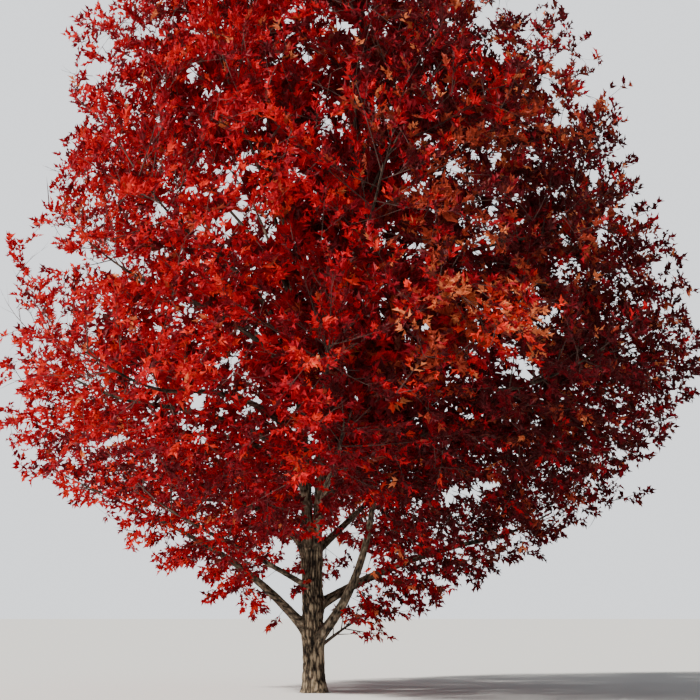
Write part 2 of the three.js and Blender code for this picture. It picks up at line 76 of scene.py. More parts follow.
# The crown as a whole
TREE_HEIGHT = 10.0
MEAN_REACH = 4.25
REACH_BIAS = 0.42
WIDEST_HEIGHT = 3.9
SIDE_FOOT = 0.95
FRONT_FOOT = 1.5
TOP_FULLNESS = 2.3
FOOT_FULLNESS = 2.0
BARE_HEIGHT = 1.8
BARE_SLOPE = 0.95
LOWEST_LEAF = 0.62
CROWN_RIPPLE = 0.035
RIPPLE_LOBES = 5
RIPPLE_HEIGHT = 0.52
MASS_BULGE = 0.05
MASS_FALL = 0.11
MASS_FALL_WIDTH = 1.15
NOTCH = {"azimuth": 180, "height": 5.05, "tall": 0.3, "wide": 26, "depth": 0.2}

# The trunk and its two leaders
FORK_HEIGHT = 1.62
TRUNK_LEAN = -0.035
TRUNK_RADIUS = 0.124
TRUNK_TOP_RADIUS = 0.116
FLARE_RADIUS = 0.062
FLARE_HEIGHT = 0.13
FLARE_LOBES = 5
FLARE_LOBE_DEPTH = 0.16
CLEARANCE = 0.0003
LEVEL_SPARE = 0.06
LEADERS = table(
    "name foot_x bend_x top root tip",
    ("leader_left", -0.06, -0.06, (-0.65, -0.2, 7.3), 0.055, 0.025),
    ("leader_right", 0.06, 0.15, (0.65, 0.25, 7.7), 0.053, 0.025),
)
LEADER_FOOT_DEPTH = 1.75
LEADER_FOOT_FADE = 0.06
LEADER_BEND = 0.35

# The boughs. at is the height on the limb that carries a bough, and rise the angle at which it leaves.
LOW_BOUGHS = table(
    "name from at azimuth rise reach height root tip",
    ("low_left", "trunk", 0.61, 183, 52, 1.5, 1.83, 0.066, 0.026),
    ("low_right", "trunk", 0.57, -38, 38, 0.9, 2.45, 0.07, 0.026),
    ("back_right", "trunk", 0.96, 16, 32, 2.15, 1.8, 0.062, 0.025),
    ("thin_left", "trunk", 1.19, 222, 24, 1.5, 1.78, 0.034, 0.022),
    ("mid_left", "trunk", 1.52, 142, 55, 1.7, 2.33, 0.056, 0.025),
    ("back", "trunk", 1.59, 66, 24, 1.7, 2.38, 0.056, 0.025),
    ("front", "leader_right", 1.98, -82, 28, 1.7, 2.45, 0.044, 0.023),
)
LOW_BEND = 0.5
LOW_SITE_OUT = 0.64
LOW_SITE_UP = 0.3
LOW_DROOP = 0.3
BOUGH_RINGS = table(
    "name count turn height share wave lowest gap rise root tip",
    ("middle", 8, 4, 3.6, 0.74, 0.095, 2.17, 0.21, 48, 0.046, 0.023),
    ("upper", 7, 26, 5.4, 0.72, 0.11, 3.33, 0.24, 58, 0.038, 0.021),
)
BOUGH_BEND = 0.45
TIP_BACKSET = 0.8
COLLAR_SWELL = 0.32
COLLAR_FADE = 0.07
BOUGH_TAPER = 0.8

# Masses that spring from a leader, and the small shoot on the trunk
CREST_SPREAD = 0.3
CREST_RISE = 1.05
STEM_RINGS = table(
    "name count turn height share wave lowest gap rise",
    ("top", 6, 2, 7.25, 0.7, 0.11, 4.48, 0.26, 62),
    ("crest", 3, -70, 8.65, 0.6, 0.06, 5.8, 0.3, 70),
    ("inner", 1, -60, 4.5, 0.24, 0, 3.14, 0, 60),
)
SHOOT = {"at": 0.47, "azimuth": -10, "rise": 38, "reach": 0.62, "height": 0.93, "width": 0.42}

# The stems of the masses
STEM_FILL = 0.95
STEM_LEAF_ROOM = 0.3
SHORTEST_STEM = 0.8
LONGEST_STEM = 4.5
STEM_BEND = 0.35
STEM_ROOT = 0.026
STEM_TIP = 0.009
STEM_SHARE = 0.95
CELL_MARGIN = 0.012
LIMB_MARGIN = 0.045
ROOT_ROOM = 2.5
SHORTEST_REACH = 3
REACH_STEP = 0.04
REACH_TESTS = 24
AXIS_STEPS = 12

# How much of a stem is made as bark: as far as it lies among leaves, and at least this share
STEM_TESTS = 41
STEM_COVER = 0.06
LEAST_STEM = 0.3

# Twigs on the stems
TWIG_COUNT = 15
SHORTENED_TWIG = 0.8
WIDE_TWIG_ANGLE = 66
NARROW_TWIG_ANGLE = 38
TWIG_FIRST_TURN = 60
TWIG_TURN = 137.5
TWIG_STRAY = 14
TWIG_FIRST = 0.1
TWIG_LAST = 0.97
LONGEST_TWIG = 2.35
SHORTEST_TWIG = 0.25
TWIG_ROOT = 0.0085
TWIG_RISE = 0.14
TWIG_SWAY = 0.05
TWIG_DROOP = 0.6
TIP_TWIG_RISE = 0.05
CUT_STEPS = 12

# Side twigs, as the sprays on a twig and the sprigs on a spray: spacing, angle and length
SPRAY_SPACING = 0.115
SPRAY_ANGLE = 42
SPRAY_LENGTH = 0.55
SHORTEST_SPRAY = 0.14
SPRAY_DROOP = 0.25
SPRIG_SPACING = 0.040
SPRIG_ANGLE = 42
SPRIG_LENGTH = 0.29
SPRIG_FIRST = 0.12
SHORTEST_SPRIG = 0.05
SPRIG_DROOP = 0.08
END_SHARE = 0.9
END_LENGTH = 0.3
END_ROOT = 0.4
SHORTEST_END = 0.08

# How side twigs stray in place, tilt, angle, direction and length, and how they thin towards the tip
SIDE_FIRST = 0.18
SIDE_PLACES = (0.1, 0.9)
SIDE_TILT = 0.25
SIDE_ANGLE_STRAY = 7
SIDE_STRAY = 0.1
SIDE_SWAY = 0.07
SIDE_RISE = 0.1
SIDE_LENGTHS = (0.7, 1.15)
SIDE_TIP_LENGTH = 0.45
SIDE_ADDED_LENGTH = 0.55
SIDE_ROOM = 0.35
LONG_PARENT = 1.2
SIDE_THINNING = 0.6
SIDE_ROOT = 0.62

# How much twigs and leaves point up at each height, how far sprays face up, and the first random seed
LIFT_HEIGHTS = [1.5, 3.2, 6.0]
LIFTS = [-0.2, 0.05, 0.4]
UPWARD_FACING = 0.58
FIRST_SEED = 101

# Twigs along the limbs inside the crown: the share of the limb where they begin, and their spacing
INNER_TWIGS = {"leader": (0.03, 0.11), "low bough": (0.22, 0.11), "bough": (0.4, 0.2)}
LOW_START = FORK_HEIGHT + 0.5
INNER_TURN_STRAY = 30
INNER_ANGLES = (45, 70)
INNER_RISE = 0.15
INNER_LENGTHS = (0.5, 1.0)
INNER_ROOT = 0.006
SHORTEST_INNER = 0.2

# Fill: a place in the crown's outer part gets a twig if its nearest wood is between near and far away
FILL_TRIES = 15000
FILL_ROUNDS = 6
SPARE_TRIES = 3
FILL_NEAR = 0.27
FILL_FAR = 1.3
FILL_DEPTH = 1.5
FILL_LOW = 2.9
FILL_OUTWARD = 0.25
FILL_STRETCH = 1.1
FILL_ROOT = 0.0045
SHORTEST_FILL = 0.15
WOOD_STEPS = 6
WOOD_FIRST = 0.15

# Short leafy shoots on the bark: limb, height on it, azimuth, rise and length
BARK_SHOOTS = [
    ("trunk", 1.47, 236, -8, 0.24),
    ("trunk", 1.40, 262, -25, 0.26),
    ("trunk", 1.30, 222, -20, 0.2),
    ("bough_low_left", 0.98, 215, -45, 0.2),
    ("bough_low_left", 1.34, 238, -22, 0.3),
    ("bough_low_left", 1.55, 250, -28, 0.42),
    ("bough_low_right", 1.12, 6, -30, 0.3),
    ("bough_low_right", 1.38, 10, -12, 0.34),
    ("bough_back_right", 1.16, 40, -50, 0.3),
    ("bough_back_right", 1.24, -8, -48, 0.4),
    ("bough_back_right", 1.33, 20, -40, 0.46),
    ("bough_back_right", 1.42, -20, -42, 0.5),
    ("bough_back_right", 1.5, 15, -36, 0.52),
    ("bough_back", 1.72, 30, -34, 0.45),
    ("bough_thin_left", 1.42, 235, -30, 0.3),
]
SHOOT_SPARE = 0.1
SHOOT_SWAY = 0.08
SHOOT_ROOT = 0.004
SHOOT_SPRIGS = {"spacing": 0.03, "longest": 0.13, "droop": 0.15, "first": 0.4}

# The outline's furthest tips as columns and rows in the photograph's pixels, each with a twig of its own
CROWN_TIPS = [
    (5, 240), (14, 300), (3, 352), (0, 408), (14, 462), (41, 162), (57, 66), (72, 38), (514, -14),
    (548, 10), (592, 34), (628, 80), (643, 158), (660, 204), (682, 264), (692, 318), (699, 368), (672, 418),
    (650, 488),
]
TIP_ROOM = 0.07
TIP_PULL = [1, 0, 0.5]
TIP_BELOW = 0.15
TIP_INWARD = 0.1
TIP_RISE = 0.15
TIP_ROOT = 0.0055
TIP_SPRAYS = {"spacing": 0.09, "angle": 40, "longest": 0.3, "first": 0.15}
TIP_SPRIGS = {"longest": 0.14, "first": 0.1}
TIP_END_SHARE = 0.8
TIP_END_LENGTH = 0.2
TIP_END_ROOT = 0.5

# Where the leaves end: height, with shares of the crown's reach on its left and right, and its lumps
LEAFY_REACH = [
    (1.1, 0.70, 0.68),
    (1.5, 0.78, 0.82),
    (2.0, 0.86, 0.94),
    (2.5, 1.06, 1.05),
    (3.7, 1.06, 1.03),
    (5.2, 1.07, 0.98),
    (5.6, 0.96, 0.95),
    (6.5, 0.97, 0.95),
    (7.6, 0.99, 0.96),
    (8.2, 0.97, 0.90),
    (8.6, 0.97, 0.80),
    (9.2, 0.97, 0.76),
    (10.0, 1.0, 0.92),
]
RAGGED = 0.2
LUMP_WIDE = 0.62
LUMP_TALL = 0.5
LEAF_SAG = 0.3
SAG_BELOW = 2.6
SAG_FADE = 0.8

# Gaps that show sky, as read in the photograph: the middle's column and row, and half sizes in metres
PHOTO_GAPS = [
    (215, 197, 0.13, 0.12), (235.5, 216.5, 0.11, 0.10), (265.5, 240, 0.20, 0.11), (210.5, 95.5, 0.09, 0.09),
    (192.5, 72, 0.13, 0.11), (155, 103.5, 0.07, 0.10), (298.5, 44.5, 0.07, 0.09), (150.5, 321, 0.15, 0.10),
    (148, 384, 0.15, 0.06), (197.5, 402.5, 0.15, 0.17), (118, 440, 0.24, 0.07), (489.5, 246.5, 0.13, 0.10),
    (527.5, 371.5, 0.15, 0.17), (381, 314, 0.09, 0.16), (560, 63, 0.11, 0.13), (563, 121.5, 0.14, 0.12),
    (592, 177, 0.10, 0.19), (620, 453.5, 0.11, 0.08), (468, 418, 0.12, 0.11),
]
# More gaps that show sky from its viewpoint: across, height and half sizes in the trunk's plane
SKY_GAPS = [
    (2.02, 2.42, 0.32, 0.11), (1.62, 2.36, 0.22, 0.08), (0.33, 2.02, 0.12, 0.18), (-0.30, 1.60, 0.13, 0.20),
    (0.30, 1.62, 0.14, 0.20), (-0.40, 1.25, 0.18, 0.42), (0.36, 1.28, 0.16, 0.30), (-2.55, 5.10, 0.32, 0.14),
    (-3.05, 5.20, 0.52, 0.17), (2.76, 8.62, 0.36, 0.26), (2.10, 8.85, 0.22, 0.22), (2.15, 8.40, 0.26, 0.16),
    (2.62, 8.15, 0.16, 0.14), (2.30, 7.95, 0.10, 0.10),
]
# Where no leaves hang in front of the trunk and the low boughs, in the same terms
FRONT_GAPS = [
    (-0.05, 1.55, 0.20, 0.40), (-0.04, 2.20, 0.13, 0.34), (-0.42, 1.72, 0.26, 0.14),
    (0.28, 1.78, 0.26, 0.12), (0.42, 1.32, 0.22, 0.24), (0.58, 1.62, 0.16, 0.28),
    (-0.60, 1.22, 0.20, 0.26),
]
GAP_GRAIN = 0.07
GAP_DEPTH_GRAIN = 0.5
GAP_ROUGHNESS = 1.15
FRONT_ROUGHNESS = 0.5
GAP_SPREAD = 1.3

# Plumes: the foliage's outer part is parted by hollows that run out from the trunk
PLUME_WIDE = 0.62
PLUME_TALL = 0.46
PLUME_DEPTH = 1.1
PLUME_START = 40
HOLLOW_SHARE = 0.4
HOLLOW_SHARE_ABOVE = 0.25
HOLLOW_LEVELS = [6.0, 7.0]
HOLLOW_SIDES = [0.3, 1.5]
HOLLOW_RIGHT = 0.5
SPRIG_MIDDLE = 0.6

# Towards the top the crown's two flanks are thinner
FLANK = 0.66
FLANK_LEVEL = 6.9
FLANK_SHARE = 0.5

# Inside the crown the sprigs are fewer and their leaves larger
INNER_DEPTH = 1.0
INNER_LEVELS = (2.9, 8.8)
INNER_SHARE = 0.35
INNER_SHARE_ABOVE = 0.62
INNER_RIGHT = 0.25
INNER_SIZE = 1.85

# One leaf: half of its outline from the root to the tip, as shares of its length across, along and up
LEAF_LENGTH = 0.085
LEAF_SIZES = (0.7, 1.25)
LEAF_OUTLINE = [(0.0, 0.0, 0.0), (0.27, 0.50, 0.16), (0.14, 0.56, 0.04), (0.0, 1.0, -0.14)]
LEAF_FACES = [(0, 1, 2), (0, 2, 3)]

# Leaves on a sprig: the share of its length and the side, how they follow it, and how they stray
LEAVES_ON_SPRIG = [(0.3, -1), (0.34, 1), (0.66, -1), (0.7, 1), (1.0, 0)]
LEAF_BACKSET = 0.15
LEAF_ALONG = 0.75
LEAF_ASIDE = 0.5
LEAF_LIFT = 0.8
LEAF_STRAY = 0.38
FACING_STRAY = 1.1
# How clear of bark a leaf is, and how far it may hang below the lowest place and past the solids' box
BARK_ROOM = 0.04
LEAF_HANG = 0.1
BOX_MARGIN = 0.2

# Leaf colours as red, green and blue. Flame is dealt as painted light, amber and part of the copper as
# painted glints, and wine and maroon partly as painted shade
LEAF_COLORS = {
    "scarlet": (0.58, 0.009, 0.018),
    "flame": (0.78, 0.045, 0.028),
    "cherry": (0.38, 0.007, 0.018),
    "crimson": (0.22, 0.006, 0.014),
    "wine": (0.12, 0.007, 0.012),
    "maroon": (0.075, 0.008, 0.010),
    "umber": (0.14, 0.024, 0.018),
    "copper": (0.37, 0.052, 0.027),
    "amber": (0.76, 0.22, 0.09),
}
LEAF_FINISH = {"roughness": 0.5, "specular": 0.12}
# The light that comes through a leaf: its share, and how much more red and green it has than the leaf
LEAF_THROUGH = 0.25
LEAF_GLOW = (1.25, 1.1)

# The crown's left, right, upper and high parts by where each begins and how fast it fades in. The lit left
# takes brighter leaf colours and the shaded right darker ones, partly as painted light and shade
LEFT_START = 0.25
LEFT_SLOPE = 1.3
RIGHT_SLOPE = 1.9
UPPER_PART = (3.0, 3.5)
HIGH_PART = (5.0, 2.0)
LEAST_REACH = 0.1
# Painted light and shade: the plumes' middles get brighter colours as painted light, and the hollows between
# them darker ones as painted shade
PLUME_CONTRAST = 3.2
PLUME_LIGHT_SHIFT = 1.15
PLUME_PAINTED_LIGHT = (0.15, 1.65)
HOLLOW_PAINTED_SHADE = (2.1, 1.85)

# Lit and shaded patches as the photograph shows them: across, height, radius and their commoner colour
# These patches are painted light and shade: a lit patch deals brighter colours and glints, a shaded one
# darker colours
PAINTED_LIGHT_AND_SHADE = [
    (2.60, 4.35, 0.30, "amber"), (2.30, 4.45, 0.34, "flame"), (1.55, 5.75, 0.50, "copper"),
    (1.90, 6.60, 0.50, "copper"), (1.75, 4.70, 0.26, "amber"), (1.50, 3.90, 0.35, "copper"),
    (1.76, 4.35, 0.28, "copper"), (2.90, 7.10, 0.40, "copper"), (1.95, 7.55, 0.40, "scarlet"),
    (0.93, 2.25, 0.16, "scarlet"), (0.20, 5.60, 0.35, "scarlet"), (0.60, 2.20, 0.50, "wine"),
    (1.30, 2.55, 0.55, "maroon"), (2.30, 3.05, 0.60, "maroon"), (1.20, 3.60, 0.55, "maroon"),
    (1.10, 6.30, 0.45, "wine"), (-3.10, 3.00, 0.26, "wine"), (-2.60, 2.75, 0.30, "wine"),
    (-2.05, 2.55, 0.32, "wine"), (-1.45, 2.40, 0.34, "wine"), (-0.85, 2.50, 0.34, "wine"),
    (-2.70, 3.60, 0.34, "scarlet"), (-2.00, 3.25, 0.34, "scarlet"), (-1.30, 3.15, 0.34, "scarlet"),
    (-1.55, 1.55, 0.32, "scarlet"), (-1.60, 4.90, 0.40, "scarlet"),
]
PATCH_STRENGTH = 2.2
PATCH_SHELL = 0.6

# The bark's kinds: pale and middle colour, grain, its stretch, blotches, and how much paler the foot is as
# painted light
BARKS = {
    "bark_rough": ((0.40, 0.315, 0.21, 1), (0.10, 0.075, 0.05, 1), 30, 0.3, 9, 0.08),
    "bark_smooth": ((0.38, 0.31, 0.22, 1), (0.12, 0.092, 0.064, 1), 40, 0.5, 16, 0),
    "bark_young": ((0.20, 0.15, 0.11, 1), (0.075, 0.053, 0.041, 1), 40, 0.5, 16, 0),
}
# The bark's darkest colour, which lies mostly in the furrows as painted shade
BARK_DARK = (0.010, 0.0075, 0.006, 1)
# The bark's pieces: sides and rings of a limb, the relief's depth and roughness, and whether joins swell
BARK_PIECES = table(
    "name bark sides rings depth rough joins",
    ("bark_trunk", "bark_rough", 128, 170, 0.02, 1.0, True),
    ("bark_leaders", "bark_smooth", 28, 160, 0.008, 0.6, True),
    ("bark_low_boughs", "bark_smooth", 28, 84, 0.008, 0.5, True),
    ("bark_stems", "bark_young", 8, 20, 0.002, 0.3, False),
    ("bark_boughs", "bark_young", 12, 36, 0.004, 0.3, True),
)
BARK_FINISH = {"roughness": 0.92, "specular": 0.2}
TWIG_FINISH = {"color": (0.068, 0.03, 0.023, 1), "roughness": 0.75}
# How much darker than its relief the bark is, and the heights between which the painted light on the foot
# fades
BARK_SHADE = 0.42
LIT_FOOT_HEIGHTS = (0.65, 1.35)
# How far the colour follows the blotches and the grain, where its dark, middle and pale lie, and the bump
BLOTCH_WEIGHT = 0.5
GRAIN_WEIGHT = 0.45
BARK_STOPS = (0.4, 0.65, 0.95)
BARK_GRAIN = {"Scale": 1, "Detail": 6, "Roughness": 0.65}
BLOTCH_DETAIL = 3
BARK_BUMP = {"Strength": 0.35, "Distance": 0.004}

# The bark's relief: cells a metre across and along the limb, and the weights of ridges, scales and grain
WANDER_CELLS = 4
WANDER_STARTS = (7.3, 19.1, 31.7)
WANDER = [0.05, 0.05, 0.12]
RIDGE_CELLS = [46, 46, 10]
RIDGE_SHARPNESS = 1.6
SCALE_CELLS = [90, 90, 34]
GRAIN_CELLS = [160, 160, 70]
ROUGH_WEIGHTS = (0.6, 0.26, 0.14)
SMOOTH_WEIGHTS = (0.4, 0.6)
PATTERN_SHIFT = 0.37
JOIN_SWELL = 0.016
JOIN_FADE = 0.03
# Twigs as tubes: sides and steps, the share of the radius left at the tip, and where the sides start
TWIG_TUBE = {"sides": 4, "steps": 3}
SPRAY_TUBE = {"sides": 3, "steps": 2}
SPRIG_TUBE = {"sides": 3, "steps": 1}
TUBE_TIP = 0.3
TUBE_ASIDE = np.array([0.31, 0.23, 0.92])

# The photograph's viewpoint, and the frame in pixels that it fills
CAMERA_PLACE = (0.42, -18.0, 0.9)
CAMERA_PITCH = 10.0
FOCAL_PIXELS = 1500
FRAME_PIXELS = 700
SENSOR_WIDTH = 36.0

# The stage: floor, world and one soft key lamp that stands front left
FLOOR_RADIUS = 300
FLOOR_SIDES = 128
FLOOR_FINISH = {"color": (0.8, 0.8, 0.79, 1), "roughness": 0.95, "specular": 0.1}
WORLD_COLOR = (0.88, 0.91, 0.95, 1)
WORLD_LIGHT = 0.32
WORLD_SHOWN = 1.6
KEY_STRENGTH = 7.5
KEY_ANGLE = 5
KEY_COLOR = (1.0, 0.95, 0.87)
KEY_AZIMUTH = 204
KEY_RISE = 38
KEY_DISTANCE = 20


def unit(vectors):
    return vectors / np.maximum(np.linalg.norm(vectors, axis=-1, keepdims=True), TINY)


def between(first, last, share):
    return first + (last - first) * share


def polar(azimuth, reach, height):
    angle = math.radians(azimuth)
    return np.array([reach * math.cos(angle), reach * math.sin(angle), height])


def heading(azimuth, rise):
    return polar(azimuth, math.cos(math.radians(rise)), math.sin(math.radians(rise)))


def scatter(rng, count, spread):
    return rng.normal(0, spread, (count, 3))


def hashed(cells):
    """A fixed value from 0 to 1 for each cell that looks like chance."""
    wave = np.sin(cells @ HASH_WAVES) * HASH_SCALE
    return wave - np.floor(wave)


def smooth_noise(points):
    """Values from 0 to 1 that vary smoothly over about one unit."""
    flat = points.reshape(-1, 3)
    cell = np.floor(flat)
    part = flat - cell
    part = part * part * (3 - 2 * part)
    total = np.zeros(len(flat))
    for corner in np.ndindex(2, 2, 2):
        corner = np.array(corner, float)
        weight = np.prod(np.where(corner > 0, part, 1 - part), axis=1)
        total += weight * hashed(cell + corner)
    return total.reshape(points.shape[:-1])


def notch_factor(height, angle):
    turn = np.cos(angle - math.radians(NOTCH["azimuth"]))
    off = np.arccos(np.clip(turn, -1, 1)) / math.radians(NOTCH["wide"])
    level = (height - NOTCH["height"]) / NOTCH["tall"]
    return 1 - NOTCH["depth"] * np.exp(-off * off - level * level)


def crown_reach(height, angle):
    """The crown's outer surface, as a distance from the upright axis through the trunk's foot."""
    foot = between(FRONT_FOOT, SIDE_FOOT, np.cos(angle) ** 2)
    above = height > WIDEST_HEIGHT
    span = np.where(above, TREE_HEIGHT - WIDEST_HEIGHT, WIDEST_HEIGHT - foot)
    fullness = np.where(above, TOP_FULLNESS, FOOT_FULLNESS)
    part = np.minimum(1, np.abs(height - WIDEST_HEIGHT) / span)
    profile = (1 - part ** fullness) ** (1 / fullness)
    ripple = 1 + CROWN_RIPPLE * np.sin(RIPPLE_LOBES * angle + height / RIPPLE_HEIGHT)
    return (MEAN_REACH + REACH_BIAS * np.cos(angle)) * profile * ripple * notch_factor(height, angle)


def crown_reach_at(points):
    return crown_reach(points[..., 2], np.arctan2(points[..., 1], points[..., 0]))


def level_reach(points):
    return np.hypot(points[..., 0], points[..., 1])


class Curve:
    """A quadratic curve, or a straight line, read by shares of its length."""

    def __init__(self, start, bend, end):
        self.steps = np.linspace(0, 1, CURVE_STEPS)
        self.controls = [np.asarray(point, float) for point in (start, bend, end)]
        points = self.at(self.steps)
        lengths = np.linalg.norm(np.diff(points, axis=0), axis=1)
        self.travel = np.concatenate([[0], np.cumsum(lengths)])
        self.length = self.travel[-1]

    def at(self, t):
        a, b, c = self.controls
        t = np.asarray(t, float)[..., None]
        return (1 - t) ** 2 * a + 2 * t * (1 - t) * b + t ** 2 * c

    def parameter(self, share):
        return np.interp(np.asarray(share, float) * self.length, self.travel, self.steps)

    def points(self, share):
        return self.at(self.parameter(share))

    def tangents(self, share):
        a, b, c = self.controls
        t = self.parameter(share)[..., None]
        return unit(2 * (1 - t) * (b - a) + 2 * t * (c - b))

    def first_part(self, share):
        """The curve from its start as far as a share of its length."""
        t = float(self.parameter(share))
        a, b, _ = self.controls
        return Curve(a, a + t * (b - a), self.at(t))


def limb_point(name, height, limbs):
    """The place at a height on a limb's middle line."""
    route = next(limb["route"] for limb in limbs if limb["name"] == name)
    heights = route.points(route.steps)[:, 2]
    return route.points(float(np.interp(height, heights, route.steps)))


def make_trunk():
    slope = TRUNK_LEAN / FORK_HEIGHT
    foot = (-slope * LEVEL_SPARE, 0, -LEVEL_SPARE)
    top = (slope * (FORK_HEIGHT + LEVEL_SPARE), 0, FORK_HEIGHT + LEVEL_SPARE)
    middle = [(a + b) / 2 for a, b in zip(foot, top)]

    def radius_at(share, angle):
        flare = FLARE_RADIUS * np.exp(-share * FORK_HEIGHT / FLARE_HEIGHT)
        lobe = 1 + FLARE_LOBE_DEPTH * flare / FLARE_RADIUS * np.cos(FLARE_LOBES * angle)
        return (between(TRUNK_RADIUS, TRUNK_TOP_RADIUS, share) + flare) * lobe

    return {"name": "trunk", "route": Curve(foot, middle, top), "across": BACK, "radius_at": radius_at}


def make_leader(spec):
    foot = (TRUNK_LEAN + spec["foot_x"], 0, FORK_HEIGHT - LEVEL_SPARE)
    bend = (TRUNK_LEAN + spec["bend_x"], 0, FORK_HEIGHT + spec["top"][2] * LEADER_BEND)

    def radius_at(share, angle):
        depth = 1 + (LEADER_FOOT_DEPTH - 1) * np.exp(-share / LEADER_FOOT_FADE)
        return between(spec["root"], spec["tip"], share) * np.hypot(np.sin(angle), np.cos(angle) * depth)

    route = Curve(foot, bend, spec["top"])
    return {"name": spec["name"], "route": route, "across": BACK, "radius_at": radius_at}


def make_bough(spec, parents):
    start = limb_point(spec["from"], spec["at"], parents)
    level = unit((spec["tip_point"] - start) * LEVEL)
    rise = math.radians(spec["rise"])
    leave = level * math.cos(rise) + UP * math.sin(rise)
    bend = start + leave * spec["bend"] * np.linalg.norm(spec["tip_point"] - start)

    def radius_at(share, _):
        collar = 1 + COLLAR_SWELL * np.exp(-share / COLLAR_FADE)
        return between(spec["root"], spec["tip"], share ** BOUGH_TAPER) * collar

    return {**spec, "route": Curve(start, bend, spec["tip_point"]), "across": np.cross(UP, level),
            "radius_at": radius_at}


def ring_sites(ring):
    """Where a ring's masses sit, which leader carries each of them, and at what height."""
    carried = {"leader_left": 0, "leader_right": 0}
    places = []
    for i in range(ring["count"]):
        azimuth = ring["turn"] + 360 * i / ring["count"]
        height = ring["height"] + ring["wave"] * (-1 if i % 2 else 1)
        site = polar(azimuth, ring["share"] * float(crown_reach(height, math.radians(azimuth))), height)
        carrier = "leader_left" if site[0] < 0 else "leader_right"
        at = ring["lowest"] + ring["gap"] * carried[carrier]
        carried[carrier] += 1
        places.append({"name": f"{ring['name']}_{i + 1}", "site": site, "from": carrier, "at": at,
                       "azimuth": azimuth, "rise": ring["rise"]})
    return places


def low_bough_spec(spec):
    tip_point = polar(spec["azimuth"], spec["reach"], spec["height"])
    site = polar(spec["azimuth"], spec["reach"] + LOW_SITE_OUT, spec["height"] + LOW_SITE_UP)
    return {**spec, "name": f"bough_{spec['name']}", "tip_point": tip_point, "site": site,
            "bend": LOW_BEND, "droop": LOW_DROOP}


def ring_bough_spec(place, ring, parents):
    start = limb_point(place["from"], place["at"], parents)
    tip_point = place["site"] - unit(place["site"] - start) * TIP_BACKSET
    return {**place, "name": f"bough_{place['name']}", "tip_point": tip_point, "bend": BOUGH_BEND,
            "root": ring["root"], "tip": ring["tip"], "droop": 0}


def build_limbs():
    """The trunk with its leaders, and the boughs that leave them, the low ones first."""
    parents = [make_trunk()]
    parents += [make_leader(spec) for spec in LEADERS]
    boughs = [make_bough(low_bough_spec(spec), parents) for spec in LOW_BOUGHS]
    for ring in BOUGH_RINGS:
        boughs += [make_bough(ring_bough_spec(place, ring, parents), parents) for place in ring_sites(ring)]
    return parents, boughs


def tip_start(limb, site, name):
    """A mass on a limb's tip."""
    leave = limb["route"].tangents(1)
    start = limb["route"].points(1) + leave * CLEARANCE
    root = float(limb["radius_at"](1, 0)) * STEM_SHARE
    return {"name": name, "site": site, "start": start, "leave": leave, "own": limb["name"],
            "root": root, "droop": limb.get("droop", 0), "small": None}


def side_start(place, parents, small=None):
    """A mass that springs from the side of a leader or of the trunk."""
    start = limb_point(place["from"], place["at"], parents)
    leave = heading(place["azimuth"], place["rise"])
    return {"name": f"foliage_{place['name']}", "site": place["site"], "start": start, "leave": leave,
            "own": place["from"], "root": STEM_ROOT, "droop": 0, "small": small}


def plan_masses(parents, boughs):
    masses = [tip_start(limb, limb["site"], limb["name"].replace("bough", "foliage")) for limb in boughs]
    for limb in parents[1:]:
        tip = limb["route"].points(1)
        site = tip + np.array([tip[0] * CREST_SPREAD, tip[1] * CREST_SPREAD, CREST_RISE])
        masses.append(tip_start(limb, site, limb["name"].replace("leader", "foliage_crest")))
    for ring in STEM_RINGS:
        masses += [side_start(place, parents) for place in ring_sites(ring)]
    shoot_site = polar(SHOOT["azimuth"], SHOOT["reach"], SHOOT["height"])
    place = {**SHOOT, "name": "shoot", "site": shoot_site, "from": "trunk"}
    masses.append(side_start(place, parents, small=SHOOT["width"]))
    return masses


def inside_crown(points, swell=1.0):
    reach = level_reach(points)
    height = points[..., 2]
    return (height > LOWEST_LEAF) & (height > BARE_HEIGHT - BARE_SLOPE * reach) & (
        reach < crown_reach_at(points) * swell)


def ragged(points):
    """The share of the crown's reach that leaves fill: it follows each side, with lumps and hollows."""
    outward = unit(points * LEVEL)
    height = points[..., 2]
    levels, left, right = np.array(LEAFY_REACH).T
    toward = (1 + outward[..., 0]) / 2
    share = np.interp(height, levels, left) * (1 - toward) + np.interp(height, levels, right) * toward
    spot = outward * MEAN_REACH / LUMP_WIDE + UP * height[..., None] / LUMP_TALL
    return share - RAGGED * (1 - smooth_noise(spot))


def seen_place(points):
    """Where points appear in the trunk's plane from the photograph's viewpoint, as across and height."""
    spread = -CAMERA_PLACE[1] / (points[..., 1] - CAMERA_PLACE[1])
    across = CAMERA_PLACE[0] + (points[..., 0] - CAMERA_PLACE[0]) * spread
    return across, CAMERA_PLACE[2] + (points[..., 2] - CAMERA_PLACE[2]) * spread


def plane_place(column, row):
    """Where a pixel of the photograph lies in the trunk's plane, as across and height to the centimetre."""
    pitch, middle = math.radians(CAMERA_PITCH), FRAME_PIXELS / 2
    rise = -CAMERA_PLACE[1] * math.tan(pitch + math.atan((middle - row) / FOCAL_PIXELS))
    depth = -CAMERA_PLACE[1] * math.cos(pitch) + rise * math.sin(pitch)
    across = CAMERA_PLACE[0] + (column - middle) * depth / FOCAL_PIXELS
    return round(across, 2), round(CAMERA_PLACE[2] + rise, 2)


